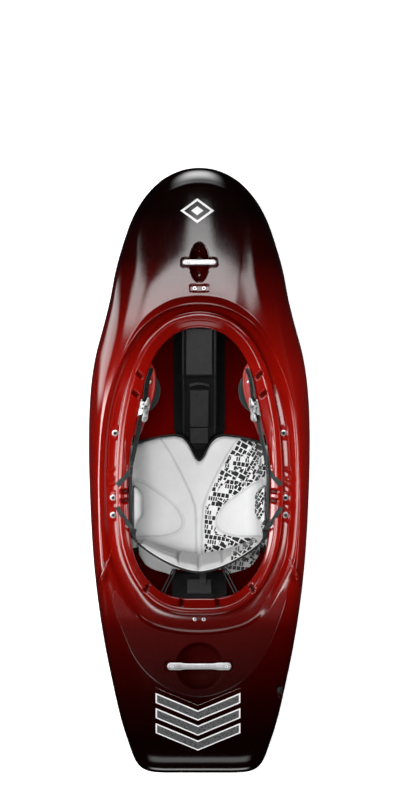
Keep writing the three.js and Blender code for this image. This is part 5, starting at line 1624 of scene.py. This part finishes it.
def plate(name, poly, t0, t1, frame_m, material, side=-1, bevel=0.5):
    """Flat piece: outline in local x and z, from y = t0 to t1, edges rounded."""
    poly = np.asarray(poly, float)
    n = len(poly)
    V = np.concatenate([np.column_stack([poly[:, 0], np.full(n, t), poly[:, 1]]) for t in (t0, t1)])
    V = mirror(apply(frame_m, V), side)
    i = list(range(n))
    F = [i[::-1], [n + k for k in i]] + [[k, (k + 1) % n, n + (k + 1) % n, n + k] for k in i]
    ob = make_object(name, V, outward(V, F), material)
    bm = bmesh.new()
    bm.from_mesh(ob.data)
    edges = [e for e in bm.edges if len(e.link_faces) == 2 and e.calc_face_angle(0) > math.radians(40)]
    bmesh.ops.bevel(bm, geom=edges, offset=bevel * MM, offset_type="OFFSET", segments=3, profile=0.5,
                    affect="EDGES", clamp_overlap=True)
    bmesh.ops.triangulate(bm, faces=[f for f in bm.faces if len(f.verts) > 4])
    bm.to_mesh(ob.data)
    bm.free()
    ob.data.polygons.foreach_set("use_smooth", [True] * len(ob.data.polygons))
    finish_edges(ob)
    return ob


BOLT = np.array([-148.0, 272.0, float(rim_z(272.0)) - 41])
PAD_TRAVEL = np.array([-11.5, -39.4, float(rim_z(232.6) - rim_z(272.0))])
PAD_FOAM = foam_material("thigh_pad_foam", (0.004, 0.009, 0.009), (0.02, 0.034, 0.034), 360)

# Thigh braces: a hooked tongue under the rim with a raised inner edge and a row of holes.
for side, tag in SIDES:
    ys = np.concatenate([np.linspace(328, 300, 14), np.linspace(298, 112, 75)])
    inner = pchip([112, 150, 190, 230, 268, 300, 318, 328], [178, 164, 149, 135, 129.5, 131, 137, 144], ys)
    inner = gauss1d(inner, 2)
    outer = open_x(ys) + 13
    u = np.linspace(0, 1, 31)
    Y, U = np.meshgrid(ys, u)
    X = lerp(inner[None, :], np.maximum(outer, inner + 2)[None, :], U)
    Z = rim_z(Y) + lerp(-48, -31, U)
    from_edge = X - inner[None, :]
    lip = 2.6 * np.exp(-((from_edge - 4) / 3.6) ** 2)
    Z = Z + lip - 3.2 * np.maximum(0, 1 - from_edge / 2.5) ** 2
    for k in range(4):
        c = BOLT + PAD_TRAVEL * (k / 3) * 1.0
        d = np.hypot(X + c[0], Y - c[1])
        Z -= 1.3 * (1 - smooth((d - 2.6) / 1.4)) + (-0.5) * (1 - smooth((d - 5.0) / 1.2)) * (d > 3.4)
    top = np.stack([-X, Y, Z], -1)
    low = np.stack([-X, Y, rim_z(Y) + lerp(-48, -31, U) - 5], -1)
    ob = closed_sheet(f"brace_{tag}", mirror(top, side), mirror(low, side), BRACE)
    give(ob, None, "hull", [f"thigh_brace_{tag}"])
    for k in (1, 2, 3):
        c = BOLT + PAD_TRAVEL * (k / 3)
        z = float(rim_z(c[1])) - 48 + 17 * (abs(c[0]) - np.interp(c[1], ys[::-1], inner[::-1])) / (
            np.interp(c[1], ys[::-1], outer[::-1]) - np.interp(c[1], ys[::-1], inner[::-1]))
        # The holes are dark discs of painted shadow over the dimples.
        hole = lathe(f"brace_hole_{tag}_{k}", [(2.5, -1.4), (2.5, 0.2)], frame_from(mirror((c[0], c[1], z - 0.2), side), (0.1, 0.05, 1)),
                     SOCKET_SHADOW, 16)
        give(hole, None, "hull")

    # Foam pad under the brace and the bolt that holds it.
    rows = np.linspace(184, 292, 60)
    a = gauss1d(pchip([184, 192, 222, 250, 275, 292], [150, 139, 121, 117, 123, 134], rows), 2)
    b = pchip([184, 222, 262, 292], [165, 164, 158, 152], rows)
    uu = np.linspace(0, 1, 21)
    YY, UU = np.meshgrid(rows, uu)
    XX = lerp(a[None, :], b[None, :], UU)
    base = rim_z(YY) - 62 + lerp(0, 6, UU)
    edge = np.minimum(np.minimum(XX - a[None, :], b[None, :] - XX), np.minimum(YY - 184, 292 - YY))
    e = 1 - np.sqrt(np.maximum(0, 1 - np.maximum(0, 1 - edge / 8) ** 2))
    step_line = 1.6 * smooth((XX - a[None, :] - 11) / 2.0)
    zt = base - 5.5 * e + 0.8 - step_line
    zb = base - 12 - 4 * np.sin(np.clip((YY - 184) / 108, 0, 1) * np.pi) + 4.5 * e
    ob = closed_sheet(f"thigh_pad_soft_{tag}", mirror(np.stack([-XX, YY, zt], -1), side),
                      mirror(np.stack([-XX, YY, zb], -1), side), PAD_FOAM)
    give(ob, None, f"knee_pad_{tag}", [f"thigh_pad_{tag}"])
    bz = float(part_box(f"thigh_pad_bolt_{tag}")[1].z) * 1000 - 3.4
    bm_ = frame_from(mirror((BOLT[0], BOLT[1], bz), side), (0, 0.05, 1))
    socket_screw(f"pad_bolt_{tag}", bm_, 5.6, 3.1, None, f"knee_pad_{tag}", f"thigh_pad_bolt_{tag}", dome=1.0,
                 shank=30, socket=False)

# Ladder straps with their teeth, running through the ratchets.
UP_IN = np.array([-0.5, 0, 0.866])
LADDER = [np.array([-143, 312, 364.2]), np.array([-201, 38, 325.8])]
for side, tag in SIDES:
    n = 340
    path = np.array([LADDER[0] * (1 - t) + LADDER[1] * t for t in np.linspace(0, 1, n)])
    tail = spline([LADDER[1] + (LADDER[0] - LADDER[1]) * 0.02, LADDER[1] + [-0.8, -6, -1.6], [-203.2, 26, 322.2], [-204.0, 20, 319.8]], 1.2)
    path = np.concatenate([path[: n - 8], tail])
    # Ahead of the ratchet it bows outwards, clear of the pad's bolt.
    path[:, 0] -= 4.4 * np.sin(np.pi * np.clip((path[:, 1] - 230) / 80, 0, 1)) ** 1.3
    T = np.gradient(path, axis=0)
    T /= np.linalg.norm(T, axis=1, keepdims=True)
    W = UP_IN - T * (T @ UP_IN)[:, None]
    W /= np.linalg.norm(W, axis=1, keepdims=True)
    N = np.cross(T, W)
    N = N * np.sign(N[:, :1] + 1e-9)
    s = np.concatenate([[0], np.cumsum(np.linalg.norm(np.diff(path, axis=0), axis=1))])
    half_w = 12.5 * np.sqrt(np.clip(1 - np.maximum(0, 1 - s / 7) ** 2, 0.04, 1)) * lerp(1.0, 0.8, smooth((s - 282) / 14))
    v = np.linspace(-1, 1, 17)
    tooth = smooth((np.abs((s / 4.6) % 1 - 0.5) - 0.2) / 0.14) * (s < 282) * (s > 14)
    body = 1.0 + 0.9 * tooth[:, None] * (np.abs(v)[None, :] < 0.66)
    edge = 1 - 0.75 * np.maximum(0, (np.abs(v) - 0.86) / 0.14)[None, :] ** 2
    top = path[:, None] + W[:, None] * (v[None, :] * half_w[:, None])[..., None] + N[:, None] * (body * edge)[..., None]
    low = path[:, None] + W[:, None] * (v[None, :] * half_w[:, None])[..., None] - N[:, None] * (1.0 * edge + 0 * body)[..., None]
    ob = closed_sheet(f"ladder_strap_toothed_{tag}", mirror(top, side), mirror(low, side), STRAP)
    give(ob, None, f"ladder_{tag}", [f"ladder_strap_{tag}"])

RAT = LADDER[1] + (LADDER[0] - LADDER[1]) * ((192 - 38) / (312 - 38))
_s = (LADDER[0] - LADDER[1]) / np.linalg.norm(LADDER[0] - LADDER[1])
_t = UP_IN - _s * (UP_IN @ _s)
_t /= np.linalg.norm(_t)
_n = np.cross(_s, _t)
RAT_M = np.eye(4)
RAT_M[:3, 0], RAT_M[:3, 1], RAT_M[:3, 2], RAT_M[:3, 3] = _s, _t, _n, RAT
LEVER = [(6.6, 4.6, 6.6, 8.5), (5, 9.8, 5.6, 10.6), (2, 12.9, 3.4, 13.6), (-4, 13.1, 6.5, 14.6), (-12, 12.2, 9.3, 15.0),
         (-20, 13.0, 9.5, 16.0), (-28, 14.2, 9.8, 16.6), (-34, 13.2, 10, 16.0), (-37.5, 9.0, 10.6, 14.6), (-38.6, 5, 11.6, 13.6)]
RELEASE = [(10.2, 7, 4.5, 9.5), (12, 12.2, 2.9, 12), (16, 13.0, 2.6, 13.0), (20, 12.2, 5.2, 13.4), (26, 9.6, 8.8, 13.0),
           (32, 6.6, 9.4, 12.6), (36, 3.2, 10.2, 11.9)]
CHEEK = [(-17, -3), (-19, 1), (-18.5, 6), (-14, 10), (-6, 11.6), (4, 12), (14, 11.6), (20, 9.6), (23, 5), (22, 0), (19, -3)]
for side, tag in SIDES:
    ob = plate(f"ratchet_plate_{tag}", [(-24, -5), (-24, -2.6), (27, -2.6), (27, -5)], -14.5, 14.5, RAT_M, RATCHET, side, 0.6)
    give(ob, None, "hull", [f"ratchet_base_{tag}"])
    for k in (-1, 1):
        ob = plate(f"ratchet_cheek_{tag}_{'in' if k < 0 else 'out'}", CHEEK, k * 13.7, k * 15.9, RAT_M, RATCHET, side, 0.7)
        give(ob, None, "hull")
    for k, x in enumerate((2, 15)):
        m = RAT_M.copy()
        ax = np.eye(4)
        ax[:3, 3] = (x, 0, 7)
        ax[:3, :3] = np.array([[1, 0, 0], [0, 0, 1], [0, -1, 0]], float)
        pin = lathe(f"ratchet_pin_{tag}_{k}", [(2.6, -17.1), (3.0, -16.7), (3.0, -16.1), (1.75, -16.05), (1.75, 16.05),
                                               (3.0, 16.1), (3.0, 16.7), (2.6, 17.1)],
                    np.eye(4), BLACK, 20)
        P = np.array([v.co[:] for v in pin.data.vertices]) * 1000
        P = mirror(apply(m @ ax, P), side)
        pin.data.vertices.foreach_set("co", (P * MM).ravel())
        if side > 0:
            pin.data.flip_normals()
        give(pin, None, "hull")
    ob = loft(f"ratchet_lever_arm_{tag}", LEVER, RAT_M, RATCHET, side, 3.4, 60, 36, 0.55)
    give(ob, None, f"lever_{tag}", [f"ratchet_lever_{tag}"])
    ob = loft(f"ratchet_release_arm_{tag}", RELEASE, RAT_M, RATCHET, side, 3.2, 44, 32, 0.4)
    give(ob, None, f"release_{tag}", [f"ratchet_release_{tag}"])
    refine(f"ladder_lock_{tag}", BLACK, f"ladder_{tag}", 1.1, 3)

def follow(ob, node, fixed, moving):
    """A strap or loop held by the hull at one end and by the back band at the other."""
    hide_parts(node)
    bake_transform(ob, "hull", "band_straps", fixed, moving)


# Webbing along the cockpit's sides.
for side, tag in SIDES:
    pts = [(-205.7, 4, 318.4), (-206.2, -5, 315.0), (-206.6, -16, 309), (-207, -60, 293), (-207, -110, 276), (-206.2, -160, 250),
           (-204.5, -194, 221), (-192, -212, 205)]
    ob = ribbon(f"side_webbing_woven_{tag}", pts, [(-0.3, 0, 0.95)] * 8, 22, 2.0, WEBBING, side)
    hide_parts(f"side_webbing_{tag}")
    sx = -1 if side < 0 else 1
    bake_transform(ob, f"ladder_{tag}", "band_straps", (sx * 0.2062, -0.008, 0.314), (sx * 0.2082, -0.1, 0.28))
    z = lambda x, y, h: (x, y, drop(x, y) + h)
    pts = [(-206.5, 3, 321.5), (-209.5, 0.5, 322.8), z(-215, -4, 5.0), z(-221, -12, 3.4), z(-230, -22, 2.0), z(-241, -34, 1.6), z(-246, -39.5, 1.3)]
    ob = ribbon(f"front_anchor_woven_{tag}", pts, (0.75, -0.65, 0), 15, 1.6, GREY_WEB, side)
    follow(ob, f"front_anchor_webbing_{tag}", (sx * 0.241, -0.034, 0.32), (sx * 0.2065, 0.003, 0.3215))
    pts = [z(-246, -104, 1.3), z(-243, -111, 1.6), z(-233, -128, 2.0), z(-219, -150, 3.0),
           (-203, -168, float(rim_z(-168)) - 1.5), (-198.5, -182, 293.5), (-197.5, -199, 262), (-191, -213, 238)]
    W = [(1, 0.5, 0), (1, 0.5, 0), (1, 0.5, 0), (1, 0.5, 0.2), (0.8, 0.4, 0.6), (0.5, 0.2, 0.9), (0.5, 0.2, 0.9), (0.5, 0.2, 0.9)]
    ob = ribbon(f"rear_anchor_woven_{tag}", pts, W, 14, 1.6, GREY_WEB, side)
    give(ob, None, "hull", [f"rear_anchor_webbing_{tag}"])
    a, b = np.array([-78, -303, 232.0]), np.array([-113, -371, 262.0])
    sd = np.array([b[1] - a[1], a[0] - b[0], 0])
    sd = -sd / np.linalg.norm(sd) * 4.5
    al = (b - a) / np.linalg.norm(b - a) * 4.5
    loop = [a + sd, (a * 2 + b) / 3 + sd + [0, 0, -1.5], (a + 2 * b) / 3 + sd + [0, 0, -1.2], b + sd, b + al * 0.75 + sd * 0.7, b + al,
            b + al * 0.75 - sd * 0.7, b - sd, (a + 2 * b) / 3 - sd + [0, 0, -1.4], (a * 2 + b) / 3 - sd + [0, 0, -1.6], a - sd,
            a - al * 0.75 - sd * 0.7, a - al, a - al * 0.75 + sd * 0.7]
    L = np.array(loop + loop[:1])
    Q = np.concatenate([L[-2:-1], L, L[1:2]])
    path = np.concatenate([catmull(Q[k - 1][None], Q[k][None], Q[k + 1][None], Q[k + 2][None], np.linspace(0, 1, 10, endpoint=False)[:, None])
                           for k in range(1, len(Q) - 2)])
    ob = tube(f"bungee_{tag}", mirror(path, side), 1.9, 12, CORD, closed=True)
    follow(ob, f"bungee_loop_{tag}", (sx * 0.11, -0.366, 0.26), (sx * 0.08, -0.306, 0.233))

ob = ribbon("rear_strap_woven", [(11, -302.5, 176), (11, -316, 196), (11, -327, 206), (11, -341, 226)], (1, 0, 0), 19, 2, WEBBING)
follow(ob, "rear_strap", (0.011, -0.339, 0.223), (0.011, -0.304, 0.178))

# Details of the centre wall: its two edge beads, the bar between the pads and the last pad.
for side, tag in SIDES:
    pts = [(-48, 116, 114), (-48, 138, 130), (-48, 248, 213), (-48, 262, 239), (-48, 285, 247), (-48, 294, 297), (-48, 428, 344.5)]
    ob = tube(f"pillar_bead_{tag}", mirror(spline(pts, 4), side), 2.9, 10, BEAD)
    give(ob, None, "hull")
ob = tube("pillar_bar", spline([(-27, 262, 238), (-14, 266, 241), (0, 267.5, 242), (14, 266, 241), (27, 262, 238)], 2.5), 4.2, 14, BLACK)
give(ob, None, "hull")
YY, XX = np.meshgrid(np.linspace(84, 131, 33), np.linspace(-27, 27, 37), indexing="ij")
wedge = np.where(XX == XX, seat_edge(XX) + 16, 0)
YY = np.maximum(YY, np.minimum(wedge, 129))
edge = np.minimum(np.minimum(27 - np.abs(XX), 131 - YY), YY - np.minimum(wedge, 129) + 1.0)
e = 1 - np.sqrt(np.maximum(0, 1 - np.clip(1 - edge / 4, 0, 1) ** 2))
Z0 = 88 + (YY - 93) * (32 / 45)
top = np.stack([XX, YY, Z0 + 6 - 3.5 * e], -1)
low = np.stack([XX, YY, Z0 - 0.5], -1)
ob = closed_sheet("front_pillar_pad_tail", top, low, FOAM)
give(ob, None, "hull")

# The diagonal crease behind the cockpit stands out as a narrow rounded crest.
for side, tag in SIDES:
    t = np.linspace(0, 1, 90)
    x, y = lerp(262.0, 304.0, t), lerp(-232.0, -344.0, t)
    r = 0.4 + 5.6 * smooth(t / 0.3) * (1 - smooth((t - 0.78) / 0.22))
    path = np.array([(-a, b, drop(-a, b) - 0.45 * c - 0.5) for a, b, c in zip(x, y, r)])
    path[:, 2] = gauss1d(path[:, 2], 3)
    ob = tube(f"deck_crease_{tag}", mirror(path, side), r, 16, SHELL)
    for key, value in (("panel", 99.0), ("inner", 0.0), ("cavity_shade", 0.0)):
        ob.data.attributes.new(key, "FLOAT", "POINT").data.foreach_set("value", np.full(len(ob.data.vertices), value, np.float32))
    give(ob, None, "hull")
